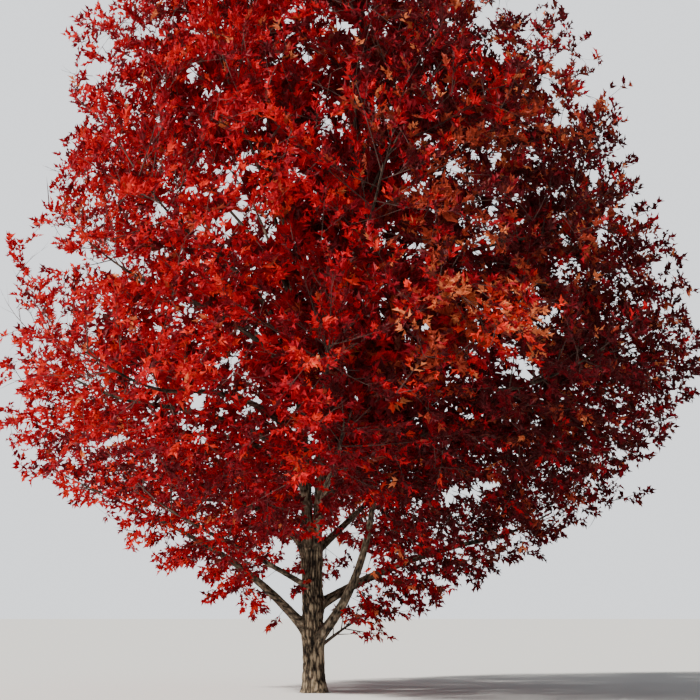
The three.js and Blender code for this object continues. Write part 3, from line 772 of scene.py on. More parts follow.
def in_gap(points):
    """Whether a point lies in one of the gaps, seen from the photograph's viewpoint."""
    across, height = seen_place(points)
    found = np.zeros(across.shape, bool)
    spot = np.stack([across, points[..., 1] * GAP_DEPTH_GRAIN, height], axis=-1) / GAP_GRAIN
    rough = GAP_ROUGHNESS * smooth_noise(spot)
    read = [(*plane_place(column, row), wide, tall) for column, row, wide, tall in PHOTO_GAPS]
    for x, z, wide, tall in read + SKY_GAPS:
        found |= np.hypot((across - x) / wide, (height - z) / tall) / GAP_SPREAD + rough < 1
    front = points[..., 1] < 0
    for x, z, wide, tall in FRONT_GAPS:
        found |= front & (np.hypot((across - x) / wide, (height - z) / tall) + rough * FRONT_ROUGHNESS < 1)
    return found


def inside_leafy(points):
    """Inside the crown with its rough surface, which hangs lower near its foot, and in none of its gaps."""
    sag = LEAF_SAG * np.clip((SAG_BELOW - points[..., 2]) / SAG_FADE, 0, 1)
    return inside_crown(points + UP * sag[..., None], ragged(points)) & ~in_gap(points)


def inside_space(points, mass, sites):
    """Nearer to the mass's own site than to any other, and under the crown's surface."""
    site = mass["site"]
    if mass["small"]:
        inside = (np.linalg.norm(points - site, axis=-1) < mass["small"]) & (points[..., 2] > LOWEST_LEAF)
    else:
        outward = unit(site * LEVEL)
        aside = points * LEVEL
        aside = aside - (aside @ outward)[..., None] * outward
        away = np.hypot(np.linalg.norm(aside, axis=-1), points[..., 2] - site[2]) / MASS_FALL_WIDTH
        inside = inside_crown(points, 1 + MASS_BULGE - MASS_FALL * np.minimum(1, away * away))
    for other in sites:
        apart = other - site
        span = np.linalg.norm(apart)
        if span > NUDGE:
            inside &= (points - site) @ (apart / span) <= span / 2 - CELL_MARGIN
    return inside


def leafy_space(mass, sites):
    """A test for the places where a mass may bear leaves."""
    if mass["small"]:
        return lambda points: inside_space(points, mass, sites) & ~in_gap(points)
    return lambda points: inside_space(points, mass, sites) & inside_leafy(points)


def axis_segments(limbs):
    """The straight steps of the limbs' middle lines: starts, ends and radii."""
    shares = np.linspace(0, 1, AXIS_STEPS + 1)
    starts, ends, radii = [], [], []
    for limb in limbs:
        points = limb["route"].points(shares)
        radius = np.maximum(limb["radius_at"](shares, 0), limb["radius_at"](shares, math.pi / 2))
        starts.append(points[:-1])
        ends.append(points[1:])
        radii.append(radius[:-1])
    return np.concatenate(starts), np.concatenate(ends), np.concatenate(radii)


def limb_gaps(points, segments):
    """How far each point is from the surface of the nearest limb."""
    gaps = np.full(len(points), np.inf)
    for start, end, radius in zip(*segments):
        along = end - start
        share = np.clip((points - start) @ along / (along @ along), 0, 1)
        away = np.linalg.norm(points - start - share[:, None] * along, axis=1) - radius
        gaps = np.minimum(gaps, away)
    return gaps


def free_reach(start, direction, mass, sites, segments):
    """How far a stem can go from a point before it leaves the space or nears a limb."""
    steps = np.arange(REACH_STEP, LONGEST_STEM, REACH_STEP)
    inside = inside_space(start + steps[:, None] * direction, mass, sites)
    blocked = np.flatnonzero(~inside)
    reach = steps[blocked[0]] - REACH_STEP if len(blocked) else LONGEST_STEM
    while reach > SHORTEST_REACH * LIMB_MARGIN:
        shares = np.linspace(ROOT_ROOM * LIMB_MARGIN, reach, REACH_TESTS)
        if limb_gaps(start + shares[:, None] * direction, segments).min() > LIMB_MARGIN:
            break
        reach -= 2 * REACH_STEP
    return max(0.0, reach)


def stem_curve(mass, sites, limbs):
    direct = unit(mass["site"] - mass["start"])
    segments = axis_segments([limb for limb in limbs if limb["name"] != mass["own"]])
    free = free_reach(mass["start"], direct, mass, sites, segments)
    least = np.linalg.norm(mass["site"] - mass["start"]) * SHORTEST_STEM
    length = max(least, free * STEM_FILL - STEM_LEAF_ROOM)
    return Curve(mass["start"], mass["start"] + mass["leave"] * STEM_BEND * length,
                 mass["start"] + direct * length)


def bark_stem(mass, stem):
    """The stem as a limb of bark, as far as it lies among leaves."""
    shares = np.linspace(0, 1, STEM_TESTS)
    points = stem.points(shares)
    leafy = inside_crown(points, ragged(points) - STEM_COVER)
    part = 1.0 if mass["small"] else max(LEAST_STEM, float(np.max(shares * leafy)))
    return {"name": mass["name"], "route": stem.first_part(part),
            "radius_at": lambda share, _: between(mass["root"], STEM_TIP, share),
            "across": unit(np.cross(UP, mass["leave"]) + NUDGE)}


class Twigs:
    """Twigs as arrays: where each starts, its direction, its bend, its length and its radius at its root."""

    FIELDS = ("start", "direction", "bend", "length", "root")

    def __init__(self, start, direction, bend, length, root):
        self.start = start
        self.direction = direction
        self.bend = np.broadcast_to(bend, start.shape)
        self.length = np.broadcast_to(length, len(start))
        self.root = np.broadcast_to(root, len(start))

    def __len__(self):
        return len(self.length)

    def points(self, shares):
        shares = shares[..., None]
        run = self.length[:, None, None] * shares
        return self.start[:, None] + run * (self.direction[:, None] + self.bend[:, None] * shares)

    def tangents(self, shares):
        return unit(self.direction[:, None] + 2 * self.bend[:, None] * shares[..., None])

    def point_at(self, share):
        """One point on each twig, at the same share of its length or at a share of its own."""
        return self.points(np.broadcast_to(share, len(self))[:, None])[:, 0]

    def tangent_at(self, share):
        return self.tangents(np.broadcast_to(share, len(self))[:, None])[:, 0]

    def pick(self, keep):
        return Twigs(*(getattr(self, field)[keep] for field in self.FIELDS))

    def shortened(self, part):
        """The twigs cut to a share of their length."""
        return Twigs(self.start, self.direction, self.bend * part[:, None], self.length * part, self.root)

    def cut_to(self, inside, shortest):
        """The twigs as far as they stay inside, without those that come out shorter than shortest."""
        shares = np.linspace(1 / CUT_STEPS, 1, CUT_STEPS)
        held = inside(self.points(np.tile(shares, (len(self), 1))))
        cut = self.shortened(np.cumprod(held, axis=1).sum(axis=1) / CUT_STEPS)
        return cut.pick(cut.length >= shortest)


def joined(parts):
    parts = [part for part in parts if len(part)] or parts[:1]
    return Twigs(*(np.concatenate([getattr(part, field) for part in parts]) for field in Twigs.FIELDS))


def end_twigs(twigs, share, length, root_share):
    """A straight twig near the tip of each twig that goes on in the direction of the tip."""
    return Twigs(twigs.point_at(share), twigs.tangent_at(1.0), 0.0, length, twigs.root * root_share)


def leaning(tangent, turn, lean):
    """Directions that lean away from a limb's own, each towards its own side round the limb."""
    across = unit(np.cross(UP, tangent) + NUDGE)
    over = np.cross(across, tangent)
    side = across * np.sin(turn)[:, None] + over * np.cos(turn)[:, None]
    return tangent * np.cos(lean)[:, None] + side * np.sin(lean)[:, None]


def light_at(points):
    """The way a spray faces: out from the trunk and up."""
    return unit(unit(points * LEVEL) * (1 - UPWARD_FACING) + UP * UPWARD_FACING)


def lift_at(height):
    """How much twigs and leaves point up at a height: they hang near the crown's foot."""
    return np.interp(height, LIFT_HEIGHTS, LIFTS)


def stem_twigs(mass, stem, sites, rng):
    """Twigs that leave the stem in turn round it, wide near its root and narrow near its tip."""
    shares = np.linspace(TWIG_FIRST, TWIG_LAST, TWIG_COUNT)
    part = (shares - TWIG_FIRST) / (TWIG_LAST - TWIG_FIRST)
    lean = np.radians(between(WIDE_TWIG_ANGLE, NARROW_TWIG_ANGLE, part))
    stray = TWIG_STRAY * rng.uniform(-1, 1, TWIG_COUNT)
    turn = np.radians(TWIG_FIRST_TURN + TWIG_TURN * np.arange(TWIG_COUNT) + stray)
    direction = unit(leaning(stem.tangents(shares), turn, lean) - UP * mass["droop"] * TWIG_DROOP)
    bend = UP * TWIG_RISE + scatter(rng, TWIG_COUNT, TWIG_SWAY)
    twigs = Twigs(stem.points(shares), direction, bend, LONGEST_TWIG, TWIG_ROOT)
    tip = Twigs(stem.points(1)[None], stem.tangents(1)[None], UP * TIP_TWIG_RISE, LONGEST_TWIG, TWIG_ROOT)

    def inside(points):
        held = inside_space(points, mass, sites)
        return held if mass["small"] else held & inside_crown(points, ragged(points))

    grown = joined([twigs, tip]).cut_to(inside, SHORTEST_TWIG)
    return grown.shortened(rng.uniform(SHORTENED_TWIG, 1, len(grown)))


def side_twigs(parents, spacing, angle, longest, rng, droop=0.0, first=SIDE_FIRST):
    """Twigs on the left and right of each parent by turns, in its own plane, shorter towards its tip."""
    counts = np.maximum(1, (parents.length * (1 - first) / spacing).astype(int))
    owner = np.repeat(np.arange(len(parents)), counts)
    total = len(owner)
    order = np.arange(total) - np.repeat(np.cumsum(counts) - counts, counts)
    share = first + (1 - first) * (order + rng.uniform(*SIDE_PLACES, total)) / counts[owner]
    parent = parents.pick(owner)
    start, tangent = parent.point_at(share), parent.tangent_at(share)
    facing = unit(light_at(start) + scatter(rng, total, SIDE_TILT))
    side = unit(np.cross(tangent, facing)) * np.where(order % 2, 1, -1)[:, None]
    lean = np.radians(angle + rng.normal(0, SIDE_ANGLE_STRAY, total))[:, None]
    lift = lift_at(start[:, 2])[:, None]
    direction = unit(tangent * np.cos(lean) + side * np.sin(lean) + scatter(rng, total, SIDE_STRAY)
                     + UP * (lift - droop))
    room = np.minimum(1, SIDE_ROOM + parent.length / LONG_PARENT)
    taper = SIDE_TIP_LENGTH + SIDE_ADDED_LENGTH * (1 - share)
    length = longest * taper * room * rng.uniform(*SIDE_LENGTHS, total)
    bend = UP * SIDE_RISE + scatter(rng, total, SIDE_SWAY)
    return Twigs(start, direction, bend, length, parent.root * (1 - SIDE_THINNING * share) * SIDE_ROOT)


def grow_sprays(twigs, inside, rng, droop=0.0):
    """Side twigs and their sprigs on a set of twigs, each side twig a spray of its own."""
    side = side_twigs(twigs, SPRAY_SPACING, SPRAY_ANGLE, SPRAY_LENGTH, rng, droop=droop * SPRAY_DROOP)
    ends = end_twigs(twigs, END_SHARE, np.minimum(END_LENGTH, twigs.length), END_ROOT)
    sprays = joined([side.cut_to(inside, SHORTEST_SPRAY), ends.cut_to(inside, SHORTEST_END)])
    sprigs = side_twigs(sprays, SPRIG_SPACING, SPRIG_ANGLE, SPRIG_LENGTH, rng, droop=SPRIG_DROOP,
                        first=SPRIG_FIRST)
    return sprays, sprigs.cut_to(inside, SHORTEST_SPRIG)


def inner_twigs(limbs, rng):
    """Short leafy twigs along the boughs and leaders, inside the crown."""
    parts = []
    for limb in limbs:
        route = limb["route"]
        kind = "low bough" if route.points(0)[2] < LOW_START else "bough"
        if limb["name"].startswith("leader"):
            kind = "leader"
        first, spacing = INNER_TWIGS[kind]
        count = int(route.length * (1 - first) / spacing)
        shares = first + (1 - first) * (np.arange(count) + rng.uniform(0, 1, count)) / count
        stray = rng.uniform(-INNER_TURN_STRAY, INNER_TURN_STRAY, count)
        turn = np.radians(TWIG_TURN * np.arange(count) + stray)
        lean = np.radians(rng.uniform(*INNER_ANGLES, count))
        direction = unit(leaning(route.tangents(shares), turn, lean))
        parts.append(Twigs(route.points(shares), direction, UP * INNER_RISE,
                           rng.uniform(*INNER_LENGTHS, count), INNER_ROOT))
    return joined(parts).cut_to(inside_leafy, SHORTEST_INNER)


def bark_shoots(limbs, rng):
    """Short leafy shoots that spring from the trunk and the low boughs."""
    names, heights, azimuths, rises, lengths = zip(*BARK_SHOOTS)
    starts = [limb_point(name, height, limbs) for name, height in zip(names, heights)]
    directions = [heading(azimuth, rise) for azimuth, rise in zip(azimuths, rises)]
    bend = scatter(rng, len(starts), SHOOT_SWAY)
    return Twigs(np.array(starts), np.array(directions), bend, np.array(lengths) + SHOOT_SPARE, SHOOT_ROOT)


def wood_points(twigs):
    shares = np.tile(np.linspace(WOOD_FIRST, 1, WOOD_STEPS), (len(twigs), 1))
    return twigs.points(shares).reshape(-1, 3)


def outer_places(count, rng):
    """Places spread evenly through the crown's outer part."""
    tries = count * SPARE_TRIES
    height = rng.uniform(LOWEST_LEAF, TREE_HEIGHT, tries)
    angle = rng.uniform(-math.pi, math.pi, tries)
    reach = (MEAN_REACH + REACH_BIAS) * np.sqrt(rng.uniform(0, 1, tries))
    places = np.column_stack([reach * np.cos(angle), reach * np.sin(angle), height])
    outer = (crown_reach(height, angle) - reach < FILL_DEPTH) | (TREE_HEIGHT - height < FILL_DEPTH)
    return places[inside_leafy(places) & (outer | (height < FILL_LOW))][:count]


def nearest_finder(points):
    tree = KDTree(len(points))
    for i, point in enumerate(points):
        tree.insert(point, i)
    tree.balance()
    return tree


def tip_twigs(twigs):
    """A twig to each of the outline's furthest tips, from the nearest wood that is lower and further in."""
    wood = wood_points(twigs)
    starts, reaches = [], []
    for column, row in CROWN_TIPS:
        across, height = plane_place(column, row)
        tip = np.array([across, 0, height])
        tip -= unit(tip * TIP_PULL) * TIP_ROOM
        below = wood[(wood[:, 2] < height - TIP_BELOW) & (np.abs(wood[:, 0]) < abs(across) - TIP_INWARD)]
        start = below[np.argmin(np.linalg.norm(below - tip, axis=1))]
        starts.append(start)
        reaches.append(tip - start)
    starts, reaches = np.array(starts), np.array(reaches)
    direction = unit(unit(reaches) - UP * TIP_RISE)
    return Twigs(starts, direction, unit(reaches) - direction, np.linalg.norm(reaches, axis=1), TIP_ROOT)


def filling_twigs(twigs, rng):
    """Twigs from the nearest wood to places in the crown's outer part that are still empty."""
    wood = wood_points(twigs)
    parts = []
    for _ in range(FILL_ROUNDS):
        tree = nearest_finder(wood)
        chosen, starts = [], []
        for place in outer_places(FILL_TRIES // FILL_ROUNDS, rng):
            near, _, away = tree.find(place)
            if not FILL_NEAR < away < FILL_FAR:
                continue
            if chosen and np.min(np.linalg.norm(np.array(chosen) - place, axis=1)) < FILL_NEAR:
                continue
            chosen.append(place)
            starts.append(np.array(near))
        if not chosen:
            break
        starts = np.array(starts)
        reach = np.array(chosen) - starts
        direction = unit(unit(reach) + unit(starts * LEVEL) * FILL_OUTWARD)
        length = np.linalg.norm(reach, axis=1) * FILL_STRETCH
        parts.append(Twigs(starts, direction, unit(reach) - direction, length, FILL_ROOT))
        wood = np.concatenate([wood, wood_points(parts[-1])])
    return joined(parts)


def plumes(points):
    """From 0 in the hollows to 1 in the middle of the plumes, which run out and rise as the twigs do."""
    level = points[..., 2] - lift_at(points[..., 2]) * level_reach(points)
    outward = unit(points * LEVEL) * MEAN_REACH
    spot = np.stack([outward[..., 0] / PLUME_WIDE, outward[..., 1] / PLUME_WIDE, level / PLUME_TALL], axis=-1)
    return smooth_noise(spot + PLUME_START)


def depth_inside(points):
    """How far points are inside the rough surface of the crown, measured level towards the trunk."""
    return crown_reach_at(points) * ragged(points) - level_reach(points)


def lies_deep(points):
    """Whether points lie in the crown's inside, under its outer shell."""
    lowest, highest = INNER_LEVELS
    height = points[:, 2]
    return (depth_inside(points) > INNER_DEPTH) & (height > lowest) & (height < highest)


def parted(sprigs, rng):
    """The sprigs without those in the hollows between plumes, and with fewer on the flanks near the top."""
    middle = sprigs.point_at(SPRIG_MIDDLE)
    height = middle[:, 2]
    least = np.interp(height, HOLLOW_LEVELS, [HOLLOW_SHARE, HOLLOW_SHARE_ABOVE])
    least = least * np.interp(middle[:, 0], HOLLOW_SIDES, [1, HOLLOW_RIGHT])
    hollow = (depth_inside(middle) < PLUME_DEPTH) & (plumes(middle) < least) & (height > FILL_LOW)
    flank = (np.abs(middle[:, 0]) > FLANK * crown_reach_at(middle)) & (height > FLANK_LEVEL)
    return sprigs.pick(~(hollow | (flank & (rng.uniform(0, 1, len(height)) > FLANK_SHARE))))


def thinned(sprigs, rng):
    """The sprigs with fewer deep inside the crown."""
    middle = sprigs.point_at(SPRIG_MIDDLE)
    share = np.interp(middle[:, 2], HOLLOW_LEVELS, [INNER_SHARE, INNER_SHARE_ABOVE])
    share = share + INNER_RIGHT * np.clip(middle[:, 0], 0, 1)
    return sprigs.pick(~lies_deep(middle) | (rng.uniform(0, 1, len(middle)) < share))


def leaf_places(sprigs, rng):
    """Leaves in pairs along each sprig and one at its tip: root, direction, facing, size and sprig."""
    shares, hands = np.array(LEAVES_ON_SPRIG).T
    count = len(sprigs)
    grid = np.tile(shares, (count, 1)) + rng.uniform(-LEAF_BACKSET, 0.0, (count, len(shares)))
    root = sprigs.points(grid).reshape(-1, 3)
    tangent = sprigs.tangents(grid).reshape(-1, 3)
    hand = np.tile(hands, count)[:, None]
    total = len(root)
    facing = unit(light_at(root) + scatter(rng, total, FACING_STRAY))
    side = unit(np.cross(tangent, facing))
    lift = lift_at(root[:, 2])[:, None]
    along = unit(tangent * LEAF_ALONG + side * hand * LEAF_ASIDE + UP * lift * LEAF_LIFT
                 + scatter(rng, total, LEAF_STRAY))
    normal = unit(facing - np.sum(facing * along, axis=1, keepdims=True) * along)
    size = LEAF_LENGTH * rng.uniform(*LEAF_SIZES, total) * np.where(lies_deep(root), INNER_SIZE, 1)
    return {"root": root, "along": along, "normal": normal, "size": size,
            "sprig": np.repeat(np.arange(count), len(shares))}


def pick_leaves(leaves, keep):
    return {name: values[keep] for name, values in leaves.items()}


def hung_leaves(leaves, limbs):
    """The leaves that lie clear of the limbs and the gaps, above the lowest place, and in the box."""
    reach = leaves["along"] * leaves["size"][:, None]
    centre, tip = leaves["root"] + reach / 2, leaves["root"] + reach
    clear = limb_gaps(centre, axis_segments(limbs)) > BARK_ROOM
    low, high = (np.array(corner) for corner in cad_box)
    held = ((tip > low - BOX_MARGIN) & (tip < high + BOX_MARGIN)).all(axis=1)
    return pick_leaves(leaves, clear & held & (centre[:, 2] > LOWEST_LEAF - LEAF_HANG) & ~in_gap(centre))


def repeated(points, faces):
    """Many copies of one shape as one list of points and one of faces."""
    offsets = points.shape[1] * np.arange(len(points))[:, None, None]
    return points.reshape(-1, 3), (faces[None] + offsets).reshape(-1, 3)


def leaf_template():
    """One leaf's corners across, along and up its blade, and its faces: half of it and its mirror image."""
    half, faces = np.array(LEAF_OUTLINE), np.array(LEAF_FACES)
    beside = np.flatnonzero(half[:, 0])
    mirrored = np.arange(len(half))
    mirrored[beside] = len(half) + np.arange(len(beside))
    return (np.concatenate([half, half[beside] * [-1, 1, 1]]),
            np.concatenate([faces, mirrored[faces[:, ::-1]]]))


def leaf_mesh_arrays(leaves):
    corners, faces = leaf_template()
    axes = (np.cross(leaves["along"], leaves["normal"]), leaves["along"], leaves["normal"])
    across, along, up = (corners[None, :, i:i + 1] * axis[:, None] for i, axis in enumerate(axes))
    points = leaves["root"][:, None] + leaves["size"][:, None, None] * (across + along + up)
    return repeated(points, faces)


def tube_arrays(twigs, sides, steps):
    """Round-sided twigs, each closed to a point at its tip."""
    shares = np.linspace(0, 1, steps + 1)
    grid = np.tile(shares, (len(twigs), 1))
    centre = twigs.points(grid)
    tangent = twigs.tangents(grid)
    across = unit(np.cross(tangent, TUBE_ASIDE))
    over = np.cross(tangent, across)
    radius = twigs.root[:, None] * (1 - (1 - TUBE_TIP) * shares)[None]
    turns = np.linspace(0, 2 * np.pi, sides, endpoint=False)[None, None, :, None]
    ring = across[:, :, None] * np.cos(turns) + over[:, :, None] * np.sin(turns)
    body = centre[:, :-1, None] + ring[:, :-1] * radius[:, :-1, None, None]
    points = np.concatenate([body.reshape(len(twigs), -1, 3), centre[:, -1:]], axis=1)
    faces = []
    for step in range(steps - 1):
        for k in range(sides):
            a, b = step * sides + k, step * sides + (k + 1) % sides
            faces += [(a, b, b + sides), (a, b + sides, a + sides)]
    last = (steps - 1) * sides
    faces += [(last + k, last + (k + 1) % sides, steps * sides) for k in range(sides)]
    return repeated(points, np.array(faces))


def merge_arrays(parts):
    """Several shapes' points and faces as one shape's."""
    starts = np.cumsum([0] + [len(points) for points, _ in parts[:-1]])
    return (np.concatenate([points for points, _ in parts]),
            np.concatenate([faces + start for (_, faces), start in zip(parts, starts)]))


def make_piece(name, points, faces, material, nodes, slot, smooth=False):
    """One joined mesh in place of the CAD nodes that it stands for."""
    mesh = bpy.data.meshes.new(name)
    mesh.vertices.add(len(points))
    mesh.vertices.foreach_set("co", points.astype(np.float32).ravel())
    mesh.loops.add(faces.size)
    mesh.loops.foreach_set("vertex_index", faces.astype(np.int32).ravel())
    mesh.polygons.add(len(faces))
    mesh.polygons.foreach_set("loop_start", np.arange(0, faces.size, faces.shape[1], dtype=np.int32))
    mesh.polygons.foreach_set("use_smooth", np.full(len(faces), smooth))
    mesh.update(calc_edges=True)
    mesh.validate()
    mesh.materials.append(material)
    piece = bpy.data.objects.new(name, mesh)
    bpy.context.scene.collection.objects.link(piece)
    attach(piece, "root")
    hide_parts(*nodes)
    return piece


def ridges(points):
    return 1 - np.abs(2 * smooth_noise(points) - 1)


def bark_relief(points, rough):
    """Long ridges with furrows between them, as a share of the relief's depth, from 0 to 1."""
    wander = np.stack([smooth_noise(points * WANDER_CELLS + start) for start in WANDER_STARTS], axis=1) - 0.5
    place = points + wander * WANDER
    coarse = 1 - ridges(place * RIDGE_CELLS) ** RIDGE_SHARPNESS
    scales = ridges(place * SCALE_CELLS)
    fine = smooth_noise(points * GRAIN_CELLS)
    rough_part = ROUGH_WEIGHTS[0] * coarse + ROUGH_WEIGHTS[1] * scales + ROUGH_WEIGHTS[2] * fine
    return rough * rough_part + (1 - rough) * (SMOOTH_WEIGHTS[0] * scales + SMOOTH_WEIGHTS[1] * fine)


def limb_arrays(limb, spec, others):
    """A limb's skin as a grid of quads with its bark's relief, swelled where it meets another limb."""
    sides, rings = spec["sides"], spec["rings"]
    shares = np.linspace(0, 1, rings + 1)
    turns = np.linspace(0, 2 * np.pi, sides, endpoint=False)
    centre = limb["route"].points(shares)
    tangent = limb["route"].tangents(shares)
    first = unit(limb["across"] - (tangent @ limb["across"])[:, None] * tangent)
    second = np.cross(first, tangent)
    outward = (first[:, None] * np.cos(turns)[None, :, None] + second[:, None] * np.sin(turns)[None, :, None])
    radius = np.broadcast_to(limb["radius_at"](shares[:, None], turns[None]), outward.shape[:2])
    flat = (centre[:, None] + outward * radius[..., None]).reshape(-1, 3)
    run = np.repeat(shares * limb["route"].length, sides)
    local = outward[..., :2].reshape(-1, 2)
    spot = np.column_stack([local * radius.ravel()[:, None], run]) + len(limb["name"]) * PATTERN_SHIFT
    relief = bark_relief(spot, spec["rough"])
    gap = np.maximum(limb_gaps(flat, axis_segments(others)), 0) if others else np.ones(len(flat))
    swell = JOIN_SWELL * np.exp(-gap / JOIN_FADE)
    moved = flat + outward.reshape(-1, 3) * ((relief - 0.5) * spec["depth"] + swell)[:, None]
    moved[:, 2] = np.maximum(moved[:, 2], 0)
    rows, cols = np.meshgrid(np.arange(rings), np.arange(sides), indexing="ij")
    a, b = rows * sides + cols, rows * sides + (cols + 1) % sides
    return moved, np.stack([a, b, b + sides, a + sides], axis=-1).reshape(-1, 4), relief


def make_bark_piece(spec, limbs, material, others):
    """One piece of bark for several limbs. Its relief is kept as an attribute for the colours, which darken
    in the furrows as painted shade.
    """
    names = [limb["name"] for limb in limbs]
    grids = [limb_arrays(limb, spec, [other for other in others if other["name"] != limb["name"]])
             for limb in limbs]
    points, quads = merge_arrays([grid[:2] for grid in grids])
    piece = make_piece(spec["name"], points, quads, material, names, "bark", smooth=True)
    attribute = piece.data.attributes.new("relief", "FLOAT", "POINT")
    attribute.data.foreach_set("value", np.concatenate([grid[2] for grid in grids]).astype(np.float32))


def new_material(name, **even):
    """A material, its node tree and its shader, with even values set on the shader's own sockets."""
    material = bpy.data.materials.new(name)
    material.use_nodes = True
    shader = material.node_tree.nodes["Principled BSDF"]
    sockets = {"color": "Base Color", "roughness": "Roughness", "specular": "Specular IOR Level"}
    for key, value in even.items():
        shader.inputs[sockets[key]].default_value = value
    return material, material.node_tree, shader


def add_node(tree, kind, inputs=None, **settings):
    """A new node with values on its inputs and settings of its own."""
    node = tree.nodes.new(kind)
    for name, value in settings.items():
        setattr(node, name, value)
    for socket, value in (inputs or {}).items():
        node.inputs[socket].default_value = value
    return node


def link(tree, *rows):
    """Links between nodes: each row is a node, its output, the next node and its input."""
    for source, output, target, socket in rows:
        tree.links.new(source.outputs[output], target.inputs[socket])


def make_bark_material(name):
    """Bark that is dark in its furrows as painted shade and pale on its ridges, with a fine grain along the
    limb, and paler at the trunk's foot as painted light.
    """
    light, mid, grain, stretch, blotches, foot_light = BARKS[name]
    material, tree, shader = new_material(name, **BARK_FINISH)
    place = add_node(tree, "ShaderNodeTexCoord")
    mapping = add_node(tree, "ShaderNodeMapping", {"Scale": (grain, grain, grain * stretch)})
    noise = add_node(tree, "ShaderNodeTexNoise", BARK_GRAIN)
    # The relief darkens the colour in the furrows as painted shade
    relief = add_node(tree, "ShaderNodeAttribute", attribute_name="relief")
    blotch = add_node(tree, "ShaderNodeTexNoise", {"Scale": blotches, "Detail": BLOTCH_DETAIL})
    spread = add_node(tree, "ShaderNodeMath", {1: BLOTCH_WEIGHT}, operation="MULTIPLY_ADD")
    add = add_node(tree, "ShaderNodeMath", {1: GRAIN_WEIGHT}, operation="MULTIPLY_ADD")
    split = add_node(tree, "ShaderNodeSeparateXYZ")
    # Painted light: the bark is paler at the foot, and less so with height
    rise = add_node(tree, "ShaderNodeMapRange", {"From Min": LIT_FOOT_HEIGHTS[0], "From Max": LIT_FOOT_HEIGHTS[1],
                                                 "To Min": BARK_SHADE - foot_light, "To Max": BARK_SHADE})
    lower = add_node(tree, "ShaderNodeMath", operation="SUBTRACT")
    ramp = add_node(tree, "ShaderNodeValToRGB")
    stops = ramp.color_ramp.elements
    stops[0].position, stops[0].color = BARK_STOPS[0], BARK_DARK
    stops[1].position, stops[1].color = BARK_STOPS[2], light
    stops.new(BARK_STOPS[1]).color = mid
    bump = add_node(tree, "ShaderNodeBump", BARK_BUMP)
    link(tree,
         (place, "Object", mapping, "Vector"),
         (mapping, "Vector", noise, "Vector"),
         (noise, "Fac", add, 0),
         (place, "Object", blotch, "Vector"),
         (blotch, "Fac", spread, 0),
         (relief, "Fac", spread, 2),
         (spread, "Value", add, 2),
         (place, "Object", split, "Vector"),
         (split, "Z", rise, "Value"),
         (add, "Value", lower, 0),
         (rise, "Result", lower, 1),
         (lower, "Value", ramp, "Fac"),
         (ramp, "Color", shader, "Base Color"),
         (noise, "Fac", bump, "Height"),
         (bump, "Normal", shader, "Normal"))
    return material


def make_leaf_material(name, color):
    """A leaf's colour, with some light that comes through from behind."""
    material, tree, shader = new_material(f"leaf_{name}", color=(*color, 1), **LEAF_FINISH)
    shine = (min(1, color[0] * LEAF_GLOW[0]), color[1] * LEAF_GLOW[1], color[2], 1)
    glow = add_node(tree, "ShaderNodeBsdfTranslucent", {"Color": shine})
    mix = add_node(tree, "ShaderNodeMixShader", {"Fac": LEAF_THROUGH})
    link(tree,
         (shader, "BSDF", mix, 1),
         (glow, "BSDF", mix, 2),
         (mix, "Shader", tree.nodes["Material Output"], "Surface"))
    return material


def color_weights(points):
    """How strongly each colour turns up at a place: scarlet on the left, through crimson, to maroon with
    copper and amber on the right, brighter in the plumes and darker between them. This is partly the leaves'
    own autumn tints and partly painted light: brighter colours on the lit left and the outer shell, darker
    ones as painted shade on the shaded right and in the hollows, and amber and part of the copper as painted
    glints."""
    across = np.clip(points[:, 0] / MEAN_REACH, -1, 1)
    left = np.clip(-across * LEFT_SLOPE + LEFT_START, 0, 1)
    right = np.clip(across * RIGHT_SLOPE, 0, 1)
    middle = np.clip(1 - left - right, 0, 1)
    upper, high = (np.clip((points[:, 2] - start) / fade, 0, 1) for start, fade in (UPPER_PART, HIGH_PART))
    outer = np.clip(level_reach(points) / np.maximum(crown_reach_at(points), LEAST_REACH), 0, 1)
    # Painted light in the middles of the plumes, painted shade in the hollows between them
    plume_light = np.clip(PLUME_CONTRAST * plumes(points) - PLUME_LIGHT_SHIFT, 0, 1)
    bright = PLUME_PAINTED_LIGHT[0] + PLUME_PAINTED_LIGHT[1] * plume_light
    dark = HOLLOW_PAINTED_SHADE[0] - HOLLOW_PAINTED_SHADE[1] * plume_light
    weights = {
        "scarlet": (1.3 * left * (1 - 0.35 * high) + 0.35 * middle + 0.06 * right) * bright,
        "flame": (0.6 * left * outer * (1 - 0.8 * high) + 0.08 * middle) * bright,
        "cherry": 0.9 * left * (1 + 0.5 * high) + 0.85 * middle + 0.2 * right * bright,
        "crimson": (0.45 * left * (1 + high) + 1.2 * middle) * dark + 0.55 * right,
        "wine": (0.15 * left + 0.6 * middle + 0.7 * right) * dark,
        "maroon": (0.15 * middle + 1.1 * right) * dark,
        "umber": 0.05 * middle + 0.3 * right,
        "copper": 0.03 * left + 0.1 * middle + (0.2 + 0.35 * upper) * right * outer * bright,
        "amber": 0.03 * left + 0.03 * middle + (0.06 + 0.12 * upper) * right * outer * bright,
    }
    # Painted light and shade in patches on the front: brighter colours where it is lit, darker ones where it
    # is shaded
    across, height = seen_place(points)
    front = (points[:, 1] < 0) & (outer > PATCH_SHELL)
    for x, z, radius, color in PAINTED_LIGHT_AND_SHADE:
        near = np.exp(-((across - x) ** 2 + (height - z) ** 2) / radius ** 2) * front
        weights[color] = weights[color] + PATCH_STRENGTH * near
    return weights


